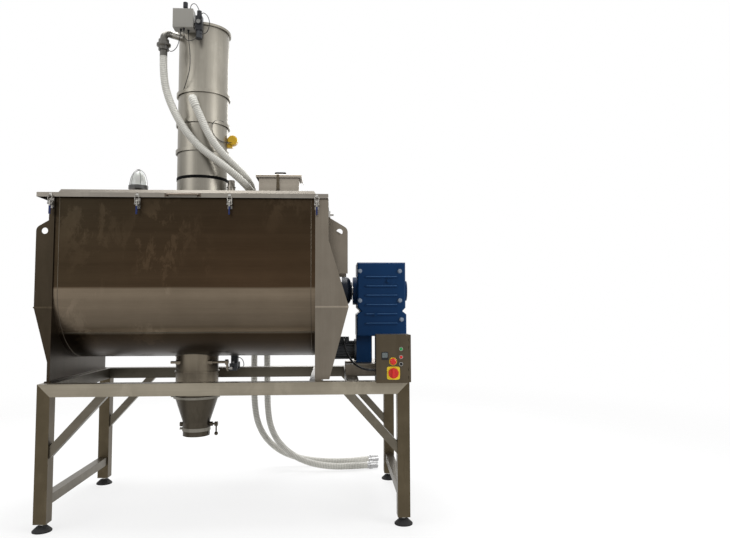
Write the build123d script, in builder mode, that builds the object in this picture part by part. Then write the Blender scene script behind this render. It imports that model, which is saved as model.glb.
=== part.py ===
from build123d import *
import os
from math import atan2, cos, degrees, pi, radians, sin, sqrt, tan

# Ribbon blender, millimetres. +X runs to the drive end, +Y to the rear, +Z up.
# The origin lies on the floor under the middle of the machine.

# Stand
frame_length = 2930.0
frame_depth = 1394.0
frame_height = 1137.0
tube = 100.0
tube_wall = 4.0
left = -1373.0
front = -626.0
leg_bottom = 64.0
leg_plate = 8.0
brace_size = 65.0
brace_wall = 3.0
brace_run = 390.0
brace_drop = 431.0
stretcher_size = 75.0
stretcher_height = 228.0
pad_radius = 73.0
pad_neck_radius = 40.0
pad_height = 40.0
pad_edge = 9.0
stem_radius = 12.0
lock_nut_radius = 21.0
lock_nut_height = 14.0

# Trough
trough_inset = 50.0
trough_length = 2115.0
trough_radius = 580.0
shell_wall = 5.0
axis_rise = 749.0
rim_rise = 779.0
rim_flange = 28.0
rim_thickness = 5.0
end_plate = 8.0
end_margin = 12.0
idle_flange = 43.0
foot_plate = 10.0
foot_reach = 46.0
seal_radius = 112.0
seal_length = 38.0

# End brackets
shelf_drop = 141.0
shelf_thickness = 12.0
shelf_reach = 268.0
shelf_lap = 14.0
gusset = 8.0
ear_offset = 310.0
ear_corner_drop = 240.0
ear_slope = 31.0
ear_round = 55.0
ear_hole_radius = 27.5
ear_hole_inset = 72.0
ear_hole_drop = 269.0
gusset_foot = 110.0
strip_reach = 102.0
flare_top_drop = 371.0
strip_gap = 33.0
strip_foot = 16.0
ear_notch_reach = 175.0
ear_notch_gap = 15.0
ear_notch_round = 30.0

# Agitator
shaft_radius = 60.0
journal_radius = 50.0
running_clearance = 0.05
ribbon_gap = 15.0
outer_ribbon_width = 70.0
inner_ribbon_radius = 350.0
inner_ribbon_width = 60.0
ribbon_thickness = 10.0
ribbon_end_gap = 30.0
ribbon_mid_gap = 12.0
arm_radius = 18.0
arm_stations = (0.06, 0.36, 0.66, 0.94)
bearing_width = 110.0
bearing_radius = 98.0
bearing_base_half = 175.0
bearing_base_height = 36.0
bearing_offset = 135.0

# Drive
coupling_radius = 129.0
coupling_length = 108.0
coupling_lap = 61.0
coupling_hub_radius = 82.0
output_radius = 45.0
gear_left_gap = 37.0
gear_width = 444.0
gear_half_depth = 200.0
gear_top_rise = 250.0
gear_waist_drop = 186.0
gear_waist_inset = 36.0
gear_waist_half = 30.0
gear_bottom_drop = 408.0
gear_rib_pitch = 83.0
gear_rib_count = 6
gear_rib_first_rise = 111.0
gear_rib_length = 290.0
gear_rib_height = 12.0
gear_rib_depth = 12.0
gear_plug_radius = 15.0
gear_plug_proud = 7.0
gear_plugs = ((168.0, 194.0), (282.0, 489.0))
gear_hub_radius = 128.0
gear_hub_length = 30.0
gear_cap_radius = 92.0
gear_cap_length = 22.0
gear_leg_width = 140.0
gear_leg_half_depth = 92.0
gear_leg_gap = 38.0
gear_wall = 20.0
gear_cavity_inset = 60.0
bed_plate = 12.0
bed_tube_height = 93.0
bed_half_depth = 260.0
bed_tube_offset = 150.0
bed_cross_inset = 50.0
bed_tube_inset = 39.0
motor_drop = 133.0
motor_radius = 72.0
motor_fin = 12.0
motor_fin_thickness = 4.0
motor_fin_count = 20
motor_length = 190.0
motor_flange_radius = 100.0
motor_flange_length = 18.0
motor_cowl_radius = 88.0
motor_cowl_length = 80.0
terminal_box = (95.0, 90.0, 48.0)

# Lid
lid_sheet = 3.0
lid_skirt = 37.0
lid_side_overhang = 25.0
lid_idle_overhang = 127.0
lid_drive_overhang = 100.0
lid_lift = 9.0
deck_rise = 54.0
deck_end_inset = 95.0
deck_front_inset = 130.0
deck_taper = 28.0
hinge_line = 430.0
leaf_gap = 6.0
leaf_lip = 30.0
knuckle_radius = 13.0
hinge_pin_radius = 6.0
knuckle_length = 60.0
hinge_plate = 5.0
hinge_plate_depth = 60.0
hinge_gap = 0.5
hinge_lift = 1.0
hinge_stations = (0.12, 0.5, 0.88)
gasket_width = 22.0
gasket_clearance = 0.3
handle_length = 262.0
handle_radius = 7.0
handle_standoff = 36.0
handle_bend = 20.0
handle_shift = 8.0

# Latches
latch_idle_reach = 22.0
latch_idle_inset = 667.0
latch_drive_inset = 702.0
latch_drive_reach = 13.0
latch_half_width = 18.0
latch_base_thickness = 6.0
latch_base_drop = 35.0
latch_base_length = 85.0
latch_pivot_drop = 30.0
latch_pivot_out = 14.0
latch_pin_radius = 4.0
latch_ear_radius = 9.0
latch_ear_inner = 7.0
latch_ear_outer = 10.0
bail_pivot_drop = 20.0
bail_pivot_in = 3.0
bail_wire = 3.0
bail_half_width = 16.0
bail_bend = 7.0
keeper_rise = 45.0
keeper_ledge = 4.0
keeper_reach = 12.0
keeper_half_width = 11.0
keeper_plate = 3.0
keeper_plate_height = 26.0
bail_seat_gap = 3.5
lever_length = 106.0
lever_half_width = 6.0
lever_half_depth = 5.5

# Hatch, lamp and vent
hatch_x = 1823.0
hatch_y = 700.0
hatch_width = 361.0
hatch_depth = 300.0
hatch_wall = 4.0
hatch_rise = 200.0
hatch_flange = 18.0
hatch_cover_lip = 22.0
hatch_cover_lip_gap = 4.0
hatch_cover_rise = 8.0
hatch_gap = 0.5
hatch_handle_span = 90.0
hatch_handle_height = 48.0
hatch_handle_radius = 6.0
hatch_handle_bend = 16.0
hatch_pin_radius = 5.0
hatch_knuckle_radius = 11.0
lamp_x = 545.0
lamp_y = 640.0
lamp_post_height = 80.0
lamp_post_radius = 32.0
lamp_base_radius = 86.0
lamp_base_height = 32.0
lamp_dome_radius = 72.0
lamp_dome_height = 142.0
lamp_wall = 4.0
lamp_wire = 2.5
lamp_wire_gap = 5.0
lamp_wire_count = 6
lamp_crown_radius = 14.0
vent_x = 1372.0
vent_y = 690.0
vent_radius = 36.0
vent_wall = 3.0
vent_height = 110.0

# Receiver
receiver_x = 1086.0
receiver_y = 800.0
receiver_radius = 231.0
receiver_wall = 3.0
receiver_foot = 30.0
collar_height = 180.0
sleeve_height = 26.0
sleeve_proud = 4.0
section_lengths = (242.0, 262.0, 278.0)
section_bead = 8.0
top_section = 622.0
cover_rim = 22.0
cover_rise = 30.0
clamp_bead = 16.0
clamp_wall = 8.0
flap_spindle_radius = 9.0
flap_disc_gap = 3.0
flap_disc = 6.0
flap_spindle_proud = 7.0
port_radius = 33.0
port_wall = 3.0
port_angle = 219.0
port_reach = 402.0
port_drop = 100.0
port_bend = 62.0
valve_radius = 62.0
valve_length = 96.0
valve_drop = 73.0
port_tail = 59.0
inlet_x = 1040.0
inlet_drop = 84.0
inlet_reach = 70.0
air_box_size = (180.0, 110.0, 170.0)
air_box_x = 968.0
air_box_drop = 98.0
air_box_gap = 20.0
air_box_wall = 3.0
air_unit_half = 30.0
air_unit_gap = 15.0
air_unit_height = 130.0
air_bowl_radius = 26.0
air_bowl_height = 76.0
air_knob_height = 52.0
regulator_radius = 21.0
regulator_height = 82.0
vibrator_rise = 134.0
vibrator_radius = 47.0
vibrator_length = 66.0
vibrator_reach = 46.0

# Discharge
neck_x = 1085.0
neck_radius = 187.0
neck_wall = 4.0
neck_drop = 361.0
neck_seam_rise = 223.0
seam_bead = 9.0
outlet_opening = 151.0
flap_gap = 1.0
flap_plate = 5.0
flap_pivot_y = 125.0
flap_pivot_drop = 49.0
flap_rod_radius = 12.0
flap_rod_left = 205.0
flap_arm_half = 70.0
flap_arm_width = 16.0
flap_boss_radius = 22.0
flap_boss_length = 20.0
crank_x = 285.0
crank_width = 14.0
crank_radius = 60.0
crank_hub_radius = 24.0
crank_pin_radius = 7.0
crank_slot_gap = 4.5
cylinder_radius = 34.0
cylinder_length = 190.0
cylinder_gap = 105.0
piston_rod_radius = 8.0
clamp_ring_radius = 205.0
clamp_ring_height = 20.0
cone_height = 224.0
outlet_radius = 120.0
outlet_length = 122.0
spigot_step = 1.5
valve_pivot_drop = 26.0
valve_disc_gap = 2.0
valve_disc = 6.0
valve_spindle_radius = 9.0
valve_boss_radius = 20.0
lever_reach = 190.0
lever_drop = 86.0
ball_radius = 17.0
band_height = 30.0
band_rise = 58.0
band_thickness = 4.0

# Control box
box_left = 2655.0
box_width = 276.0
box_height = 375.0
box_lift = 4.0
box_back = 80.0
box_depth = 175.0
box_wall = 2.5
door_width = 254.0
door_depth = 25.0
door_wall = 2.5
door_gap = 0.4
door_margin = 3.0
door_knuckle_radius = 6.0
door_pin_radius = 3.0
door_knuckle_length = 40.0
button_x = 2849.0
start_rise = 264.0
stop_rise = 201.0
selector_rise = 146.0
button_radius = 11.0
button_proud = 13.0
button_travel = 4.0
bezel_radius = 16.0
bezel_proud = 5.0
button_gap = 0.3
estop_x = 2785.0
estop_rise = 167.0
estop_radius = 26.0
estop_collar = 31.0
switch_x = 2788.0
switch_rise = 76.0
switch_plate = 102.0
switch_plate_thickness = 4.0
switch_radius = 40.0
switch_proud = 30.0
display_x = 2721.0
display_rise = 210.0
display_size = (55.0, 63.0)
display_proud = 6.0
lid_switch_drop = 181.0
lid_switch_size = (56.0, 40.0, 52.0)
lid_switch_plug = 24.0
lid_switch_knob = 26.0

# Hoses and cable
hose_radius = 35.0
hose_wall = 4.0
hose_cuff_radius = 41.0
hose_end_length = 120.0
cable_radius = 9.0

# Derived places
right = left + frame_length
rear = front + frame_depth
axis_y = (front + rear) / 2
rail_bottom = frame_height - tube
leg_xs = (left + tube / 2, right - tube / 2)
leg_ys = (front + tube / 2, rear - tube / 2)
leg_points = [(x, y) for x in leg_xs for y in leg_ys]
shell_radius = trough_radius + shell_wall
axis_height = frame_height + axis_rise
trough_bottom = axis_height - shell_radius
rim_height = axis_height + rim_rise
end_half_width = shell_radius + end_margin
shelf_height = axis_height - shelf_drop
ear_corner_height = rim_height - ear_corner_drop
ear_hole_height = rim_height - ear_hole_drop
ear_notch_top = axis_height + coupling_radius + ear_notch_gap
flare_top_height = rim_height - flare_top_drop
trough_left = left + trough_inset
trough_right = trough_left + trough_length
trough_mid = (trough_left + trough_right) / 2
idle_face = trough_left - end_plate
drive_face = trough_right + end_plate
foot_top = frame_height + foot_plate
shelf_bottom = shelf_height - shelf_thickness
cross_rail_x = drive_face + foot_reach - tube / 2
coupling_left = drive_face + shelf_reach - coupling_lap
coupling_right = coupling_left + coupling_length
gear_left = coupling_right + gear_left_gap
gear_right = gear_left + gear_width
gear_mid = (gear_left + gear_right) / 2
gear_top = axis_height + gear_top_rise
gear_waist = axis_height - gear_waist_drop
gear_bottom = axis_height - gear_bottom_drop
gear_rib_first = gear_bottom + gear_rib_first_rise
motor_height = gear_bottom - motor_drop
bed_top = frame_height + bed_tube_height + bed_plate
lid_left = idle_face - lid_idle_overhang
lid_right = drive_face + lid_drive_overhang
lid_front_y = axis_y - end_half_width - lid_side_overhang
lid_rear_y = axis_y + end_half_width + lid_side_overhang
lid_top = rim_height + lid_lift
lid_bottom = lid_top - lid_skirt
deck_top = lid_top + deck_rise
latch_base_top = rim_height - latch_base_drop
latch_base_bottom = latch_base_top - latch_base_length
latch_pivot_height = latch_base_top - latch_pivot_drop
keeper_ledge_height = latch_pivot_height + keeper_rise
lever_bottom = latch_pivot_height - lever_length
hatch_rim_height = deck_top + hatch_rise
collar_top = deck_top + collar_height
sleeve_top = collar_top + sleeve_height
section_heights = [sleeve_top + sum(section_lengths[: count + 1]) for count in range(len(section_lengths))]
receiver_top = section_heights[-1] + top_section
port_height = receiver_top - port_drop
valve_top = port_height - valve_drop
port_bottom = valve_top - valve_length - port_tail
inlet_height = section_heights[-1] - inlet_drop
air_box_bottom = receiver_top - air_box_drop
vibrator_height = section_heights[0] + vibrator_rise
neck_bottom = trough_bottom - neck_drop
neck_seam = neck_bottom + neck_seam_rise
flap_pivot_height = trough_bottom - flap_pivot_drop
cone_bottom = neck_bottom - cone_height
outlet_bottom = cone_bottom - outlet_length
valve_pivot_height = cone_bottom - valve_pivot_drop
band_center = outlet_bottom + band_rise
box_bottom = frame_height + box_lift
hinge_y = front + hinge_line
hinge_z = deck_top + knuckle_radius + hinge_lift
receiver_at = (left + receiver_x, front + receiver_y)
neck_at = (left + neck_x, axis_y)
axis_line = Axis((0, axis_y, axis_height), (1, 0, 0))

os.makedirs("parts", exist_ok=True)


def save(part, name):
    part.label = name
    export_step(part, "parts/" + name + ".step")


def block(xs, ys, zs, mode=Mode.ADD):
    with Locations(((xs[0] + xs[1]) / 2, (ys[0] + ys[1]) / 2, (zs[0] + zs[1]) / 2)):
        Box(xs[1] - xs[0], ys[1] - ys[0], zs[1] - zs[0], mode=mode)


def bar(start, end, radius, mode=Mode.ADD):
    run = Vector(*end) - Vector(*start)
    with BuildSketch(Plane(origin=start, z_dir=run)) as section:
        Circle(radius)
    extrude(section.sketch, amount=run.length, mode=mode)


def ring_bar(start, end, outer, inner):
    run = Vector(*end) - Vector(*start)
    with BuildSketch(Plane(origin=start, z_dir=run)) as section:
        Circle(outer)
        Circle(inner, mode=Mode.SUBTRACT)
    extrude(section.sketch, amount=run.length)


def turned(at, points, mode=Mode.ADD):
    plane = Plane(origin=(at[0], at[1], 0), x_dir=(1, 0, 0), z_dir=(0, -1, 0))
    with BuildSketch(plane) as section:
        Polygon(*points, align=None)
    revolve(section.sketch, axis=Axis((at[0], at[1], 0), (0, 0, 1)), mode=mode)


def plate_xz(points, y_low, y_high, mode=Mode.ADD):
    with BuildSketch(Plane.XZ.offset(-y_high)) as section:
        Polygon(*points, align=None)
    extrude(section.sketch, amount=y_high - y_low, mode=mode)


def plate_yz(points, x_low, x_high, mode=Mode.ADD):
    with BuildSketch(Plane.YZ.offset(x_low)) as section:
        Polygon(*points, align=None)
    extrude(section.sketch, amount=x_high - x_low, mode=mode)


def square_tube_x(xs, y, z, size, wall):
    with BuildSketch(Plane.YZ.offset(xs[0])) as section:
        with Locations((y, z)):
            Rectangle(size, size)
            Rectangle(size - 2 * wall, size - 2 * wall, mode=Mode.SUBTRACT)
    extrude(section.sketch, amount=xs[1] - xs[0])


def square_tube_y(x, ys, z, size, wall):
    with BuildSketch(Plane.XZ.offset(-ys[1])) as section:
        with Locations((x, z)):
            Rectangle(size, size)
            Rectangle(size - 2 * wall, size - 2 * wall, mode=Mode.SUBTRACT)
    extrude(section.sketch, amount=ys[1] - ys[0])


def brace(leg_face, side, y):
    slope = atan2(brace_drop, brace_run)
    foot = rail_bottom - brace_drop

    def outline(half):
        rise = half / cos(slope)
        reach = half / sin(slope)
        return [
            (leg_face, foot - rise),
            (leg_face, foot + rise),
            (leg_face + side * (brace_run - reach), rail_bottom),
            (leg_face + side * (brace_run + reach), rail_bottom),
        ]

    plate_xz(outline(brace_size / 2), y - brace_size / 2, y + brace_size / 2)
    inner = brace_size / 2 - brace_wall
    plate_xz(outline(inner), y - inner, y + inner, Mode.SUBTRACT)


def corner_radii(points):
    radii = []
    for before, at, after in zip(points, points[1:], points[2:]):
        run_in = Vector(*at) - Vector(*before)
        run_out = Vector(*after) - Vector(*at)
        half_turn = radians(run_in.get_angle(run_out)) / 2
        radii.append(0.45 * min(run_in.length, run_out.length) / tan(half_turn))
    return radii


def from_corner(points):
    return [(left + x, front + y, z) for x, y, z in points]


# Stand legs, mitred at the top corners of the front and rear portals
with BuildPart() as frame_legs:
    with BuildSketch(Plane.XY.offset(leg_bottom)):
        with Locations(*leg_points):
            Rectangle(tube, tube)
            Rectangle(tube - 2 * tube_wall, tube - 2 * tube_wall, mode=Mode.SUBTRACT)
    extrude(amount=frame_height - leg_bottom)
    with BuildSketch(Plane.XY.offset(leg_bottom)):
        with Locations(*leg_points):
            Rectangle(tube, tube)
    extrude(amount=leg_plate)
    for x, side in ((left, 1), (right, -1)):
        wedge = [(x, frame_height), (x + side * tube, frame_height), (x + side * tube, rail_bottom)]
        plate_xz(wedge, front, rear, Mode.SUBTRACT)
save(frame_legs.part, "frame_legs")

# Rails, cross rails, braces and low stretchers, one solid for each tube
between = (front + tube, rear - tube)
bed_cross_x = gear_left - bed_cross_inset
rail_tubes = []
for y in leg_ys:
    with BuildPart() as rail:
        square_tube_x((left, right), y, frame_height - tube / 2, tube, tube_wall)
        for x, side in ((left, 1), (right, -1)):
            wedge = [(x, frame_height), (x, rail_bottom), (x + side * tube, rail_bottom)]
            plate_xz(wedge, front, rear, Mode.SUBTRACT)
    rail_tubes.append(rail.part)
    for face, side in ((left + tube, 1), (right - tube, -1)):
        with BuildPart() as diagonal:
            brace(face, side, y)
        rail_tubes.append(diagonal.part)
for x in (leg_xs[0], cross_rail_x, bed_cross_x, leg_xs[1]):
    with BuildPart() as cross_rail:
        square_tube_y(x, between, frame_height - tube / 2, tube, tube_wall)
    rail_tubes.append(cross_rail.part)
for x in leg_xs:
    with BuildPart() as stretcher:
        square_tube_y(x, between, stretcher_height, stretcher_size, brace_wall)
    rail_tubes.append(stretcher.part)
save(Compound(children=rail_tubes), "frame_rails")

# Levelling feet: rubber pads and threaded stems with lock nuts
with BuildPart() as foot_pads:
    for at in leg_points:
        pad_profile = [
            (0, 0),
            (pad_radius, 0),
            (pad_radius, pad_edge),
            (pad_neck_radius, pad_height),
            (0, pad_height),
        ]
        turned(at, pad_profile)
save(foot_pads.part, "foot_pads")

with BuildPart() as foot_stems:
    with BuildSketch(Plane.XY.offset(pad_height)):
        with Locations(*leg_points):
            Circle(stem_radius)
    extrude(amount=leg_bottom - pad_height)
    with BuildSketch(Plane.XY.offset(leg_bottom - lock_nut_height)):
        with Locations(*leg_points):
            RegularPolygon(lock_nut_radius, 6)
    extrude(amount=lock_nut_height)
save(foot_stems.part, "foot_stems")

# Drive bed: two tubes along the stand and the machined plate under the gear unit
with BuildPart() as drive_bed:
    for side in (-1, 1):
        with BuildSketch(Plane.YZ.offset(bed_cross_x - tube / 2)) as bed_section:
            with Locations((axis_y + side * bed_tube_offset, frame_height + bed_tube_height / 2)):
                Rectangle(tube, bed_tube_height)
                Rectangle(tube - 2 * tube_wall, bed_tube_height - 2 * tube_wall, mode=Mode.SUBTRACT)
        extrude(bed_section.sketch, amount=gear_right - bed_tube_inset - bed_cross_x + tube / 2)
    block(
        (gear_left - 24, gear_right + 6),
        (axis_y - bed_half_depth, axis_y + bed_half_depth),
        (bed_top - bed_plate, bed_top),
    )
save(drive_bed.part, "drive_bed")

# Trough shell: straight walls over a half-round bottom, rims turned outwards
with BuildPart() as trough_shell:
    wall_middle = (axis_y, (axis_height + rim_height) / 2)
    with BuildSketch(Plane.YZ.offset(trough_left)) as shell_section:
        with Locations((axis_y, axis_height)):
            Circle(shell_radius)
        with Locations(wall_middle):
            Rectangle(2 * shell_radius, rim_height - axis_height)
        with Locations((axis_y, axis_height)):
            Circle(trough_radius, mode=Mode.SUBTRACT)
        with Locations(wall_middle):
            Rectangle(2 * trough_radius, rim_height - axis_height, mode=Mode.SUBTRACT)
        for side in (-1, 1):
            with Locations((axis_y + side * (shell_radius + rim_flange / 2), rim_height - rim_thickness / 2)):
                Rectangle(rim_flange, rim_thickness)
    extrude(shell_section.sketch, amount=trough_length)
    with BuildSketch(Plane.XY.offset(axis_height)):
        with Locations(neck_at):
            Circle(outlet_opening)
    extrude(amount=-2 * shell_radius, mode=Mode.SUBTRACT)
save(trough_shell.part, "trough_shell")

# End plates with a foot, a rim and a bolted shaft seal on the outside
plate_ys = (axis_y - end_half_width, axis_y + end_half_width)


def end_wall(inner, side, foot_out):
    outer = inner + side * end_plate
    xs = sorted((inner, outer))
    block(xs, plate_ys, (foot_top, rim_height))
    foot_xs = sorted((inner - side * (tube - foot_reach - end_plate - foot_out), outer + side * foot_out))
    block(foot_xs, plate_ys, (frame_height, foot_top))
    rim_xs = sorted((outer, outer + side * rim_flange))
    block(rim_xs, plate_ys, (rim_height - rim_thickness, rim_height))
    bar((xs[0], axis_y, axis_height), (xs[1], axis_y, axis_height), shaft_radius + 2, Mode.SUBTRACT)


def seal(face, side):
    seal_end = (face + side * seal_length, axis_y, axis_height)
    flange_end = (face + side * seal_length * 0.35, axis_y, axis_height)
    ring_bar((face, axis_y, axis_height), seal_end, seal_radius * 0.78, shaft_radius + running_clearance)
    ring_bar((face, axis_y, axis_height), flange_end, seal_radius, shaft_radius + running_clearance)


with BuildPart() as end_plate_idle:
    end_wall(trough_left, -1, idle_flange - end_plate)
    for side in (-1, 1):
        edge = axis_y + side * end_half_width
        ys = sorted((edge, edge - side * gusset))
        strip_edge = idle_face - idle_flange + end_plate
        strip = [
            (idle_face, foot_top),
            (idle_face - strip_foot, foot_top),
            (idle_face - strip_foot, shelf_height),
            (strip_edge, ear_hole_height),
            (strip_edge, rim_height - rim_thickness),
            (idle_face, rim_height - rim_thickness),
        ]
        plate_xz(strip, *ys)
    seal(idle_face, -1)
save(end_plate_idle.part, "end_plate_idle")

with BuildPart() as end_plate_drive:
    end_wall(trough_right, 1, foot_reach)
    seal(drive_face, 1)
save(end_plate_drive.part, "end_plate_drive")

# Lifting ears, flared gussets and bearing shelves
ear_rise = shelf_reach * tan(radians(ear_slope))
ear_top = min(ear_corner_height + ear_rise, rim_height - rim_thickness - 10)
ear_flat = shelf_reach - (ear_top - ear_corner_height) / tan(radians(ear_slope))


def ear(face, side, y, notched):
    with BuildPart() as plate:
        with BuildSketch(Plane.XZ.offset(-y - gusset / 2)) as section:
            corner = (face + side * shelf_reach, ear_corner_height)
            Polygon(
                (face, shelf_height),
                (face + side * shelf_reach, shelf_height),
                corner,
                (face + side * ear_flat, ear_top),
                (face, ear_top),
                align=None,
            )
            outer_corner = section.vertices().sort_by_distance((*corner, 0))[0]
            fillet(outer_corner, ear_round)
            if notched:
                inner_corner = (face + side * ear_notch_reach, ear_notch_top)
                notch_size = (shelf_reach - ear_notch_reach, ear_notch_top - shelf_height)
                notch_mid = (inner_corner[0] + side * notch_size[0] / 2, inner_corner[1] - notch_size[1] / 2)
                with Locations(notch_mid):
                    Rectangle(*notch_size, mode=Mode.SUBTRACT)
                fillet(section.vertices().sort_by_distance((*inner_corner, 0))[0], ear_notch_round)
            with Locations((face + side * (shelf_reach - ear_hole_inset), ear_hole_height)):
                Circle(ear_hole_radius, mode=Mode.SUBTRACT)
        extrude(section.sketch, amount=gusset)
    return plate.part


def lower_gusset(face, side, y_low, y_high):
    with BuildPart() as plate:
        outline = [
            (face, shelf_bottom),
            (face + side * shelf_reach, shelf_bottom),
            (face + side * gusset_foot, foot_top),
            (face, foot_top),
        ]
        plate_xz(outline, y_low, y_high)
    return plate.part


def flare(y_low, y_high):
    with BuildPart() as plate:
        outline = [
            (drive_face, shelf_height),
            (drive_face + shelf_reach, shelf_height),
            (drive_face + strip_reach, flare_top_height),
            (drive_face + strip_reach, rim_height - strip_gap),
            (drive_face, rim_height - strip_gap),
        ]
        plate_xz(outline, y_low, y_high)
    return plate.part


def shelf(face, side, half):
    with BuildPart() as plate:
        shelf_xs = sorted((face, face + side * shelf_reach))
        block(shelf_xs, (axis_y - half, axis_y + half), (shelf_bottom, shelf_height))
    return plate.part


bracket_plates = [
    shelf(idle_face, -1, ear_offset + gusset / 2 + shelf_lap),
    shelf(drive_face, 1, end_half_width + shelf_lap),
]
for side in (-1, 1):
    ear_y = axis_y + side * ear_offset
    edge = axis_y + side * end_half_width
    edge_ys = sorted((edge, edge - side * gusset))
    for face, out in ((idle_face, -1), (drive_face, 1)):
        bracket_plates.append(ear(face, out, ear_y, out > 0))
        bracket_plates.append(lower_gusset(face, out, ear_y - gusset / 2, ear_y + gusset / 2))
    bracket_plates.append(flare(*edge_ys))
    bracket_plates.append(lower_gusset(drive_face, 1, *edge_ys))
save(Compound(children=bracket_plates), "end_brackets")

# Pillow block bearings on the shelves
bearing_xs = (idle_face - bearing_offset, drive_face + bearing_offset)
with BuildPart() as bearing_housings:
    for x in bearing_xs:
        with BuildSketch(Plane.YZ.offset(x - bearing_width / 2)) as housing_section:
            with Locations((axis_y, axis_height)):
                Circle(bearing_radius)
            with Locations((axis_y, (shelf_height + axis_height) / 2)):
                Rectangle(2 * bearing_radius, axis_height - shelf_height)
            with Locations((axis_y, shelf_height + bearing_base_height / 2)):
                Rectangle(2 * bearing_base_half, bearing_base_height)
            with Locations((axis_y, axis_height)):
                Circle(journal_radius + running_clearance, mode=Mode.SUBTRACT)
        extrude(housing_section.sketch, amount=bearing_width)
save(bearing_housings.part, "bearing_housings")

# Agitator shaft: journals turned down outside the seals, output shaft of the gear unit in line
shaft_left = bearing_xs[0] - bearing_width / 2 - 12
idle_step = idle_face - seal_length - 6
drive_step = drive_face + seal_length + 6
with BuildPart() as agitator_shaft:
    bar((idle_step, axis_y, axis_height), (drive_step, axis_y, axis_height), shaft_radius)
    bar((shaft_left, axis_y, axis_height), (idle_step, axis_y, axis_height), journal_radius)
    bar((drive_step, axis_y, axis_height), (coupling_left, axis_y, axis_height), journal_radius)
    output_end = gear_left + gear_width / 2
    bar((coupling_right, axis_y, axis_height), (output_end, axis_y, axis_height), output_radius)
save(agitator_shaft.part, "agitator_shaft")

# Coupling disc between the agitator shaft and the gear unit
with BuildPart() as drive_coupling:
    disc_plane = Plane(origin=(0, axis_y, axis_height), x_dir=(1, 0, 0), z_dir=(0, -1, 0))
    with BuildSketch(disc_plane) as disc_section:
        with BuildLine():
            Polyline(
                (coupling_left, 0),
                (coupling_left, coupling_hub_radius),
                (coupling_left + 14, coupling_hub_radius),
                (coupling_left + 14, coupling_radius),
                (coupling_left + 62, coupling_radius),
            )
            RadiusArc((coupling_left + 62, coupling_radius), (coupling_right - 12, coupling_hub_radius), 62)
            Polyline(
                (coupling_right - 12, coupling_hub_radius),
                (coupling_right, coupling_hub_radius),
                (coupling_right, 0),
                (coupling_left, 0),
            )
        make_face()
    revolve(axis=axis_line)
save(drive_coupling.part, "drive_coupling")

# Ribbons: two starts, left and right hand halves that feed to the middle
half_length = trough_length / 2 - ribbon_end_gap - ribbon_mid_gap
helix_origin = (trough_left + ribbon_end_gap, axis_y, axis_height)


def ribbon_half(radius, width, left_hand):
    with BuildPart() as flight:
        with BuildLine() as path:
            Helix(
                pitch=half_length,
                height=half_length,
                radius=radius - width / 2,
                center=helix_origin,
                direction=(1, 0, 0),
                lefthand=left_hand,
            )
        start = path.line @ 0
        outward = start - Vector(*helix_origin)
        with BuildSketch(Plane(origin=start, x_dir=outward, z_dir=path.line % 0)):
            Rectangle(width, ribbon_thickness)
        sweep(is_frenet=True)
    angle = degrees(atan2(outward.Z, outward.Y))
    return flight.part, angle


def full_set(flight):
    other = flight.rotate(axis_line, 180)
    middle = Plane.YZ.offset(trough_mid)
    return [flight, other, flight.mirror(middle), other.mirror(middle)]


outer_radius = trough_radius - ribbon_gap
outer_flight, outer_angle = ribbon_half(outer_radius, outer_ribbon_width, False)
inner_flight, inner_angle = ribbon_half(inner_ribbon_radius, inner_ribbon_width, True)

with BuildPart() as outer_ribbons:
    add(full_set(outer_flight))
save(outer_ribbons.part, "outer_ribbons")

with BuildPart() as inner_ribbons:
    add(full_set(inner_flight))
save(inner_ribbons.part, "inner_ribbons")

# Arms carry the ribbons and meet the shaft in a saddle
with BuildPart() as agitator_arms:
    for station in arm_stations:
        run = ribbon_end_gap + station * half_length
        for x in (trough_left + run, trough_right - run):
            for start_angle, turn, radius, width in (
                (outer_angle, 1, outer_radius, outer_ribbon_width),
                (inner_angle, -1, inner_ribbon_radius, inner_ribbon_width),
            ):
                angle = radians(start_angle + turn * 360 * station)
                reach = radius - width / 2
                tip = (reach * cos(angle), reach * sin(angle))
                bar(
                    (x, axis_y - tip[0], axis_height - tip[1]),
                    (x, axis_y + tip[0], axis_height + tip[1]),
                    arm_radius,
                )
    shaft_ends = ((trough_left, axis_y, axis_height), (trough_right, axis_y, axis_height))
    bar(*shaft_ends, shaft_radius, Mode.SUBTRACT)
save(agitator_arms.part, "agitator_arms")

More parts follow.
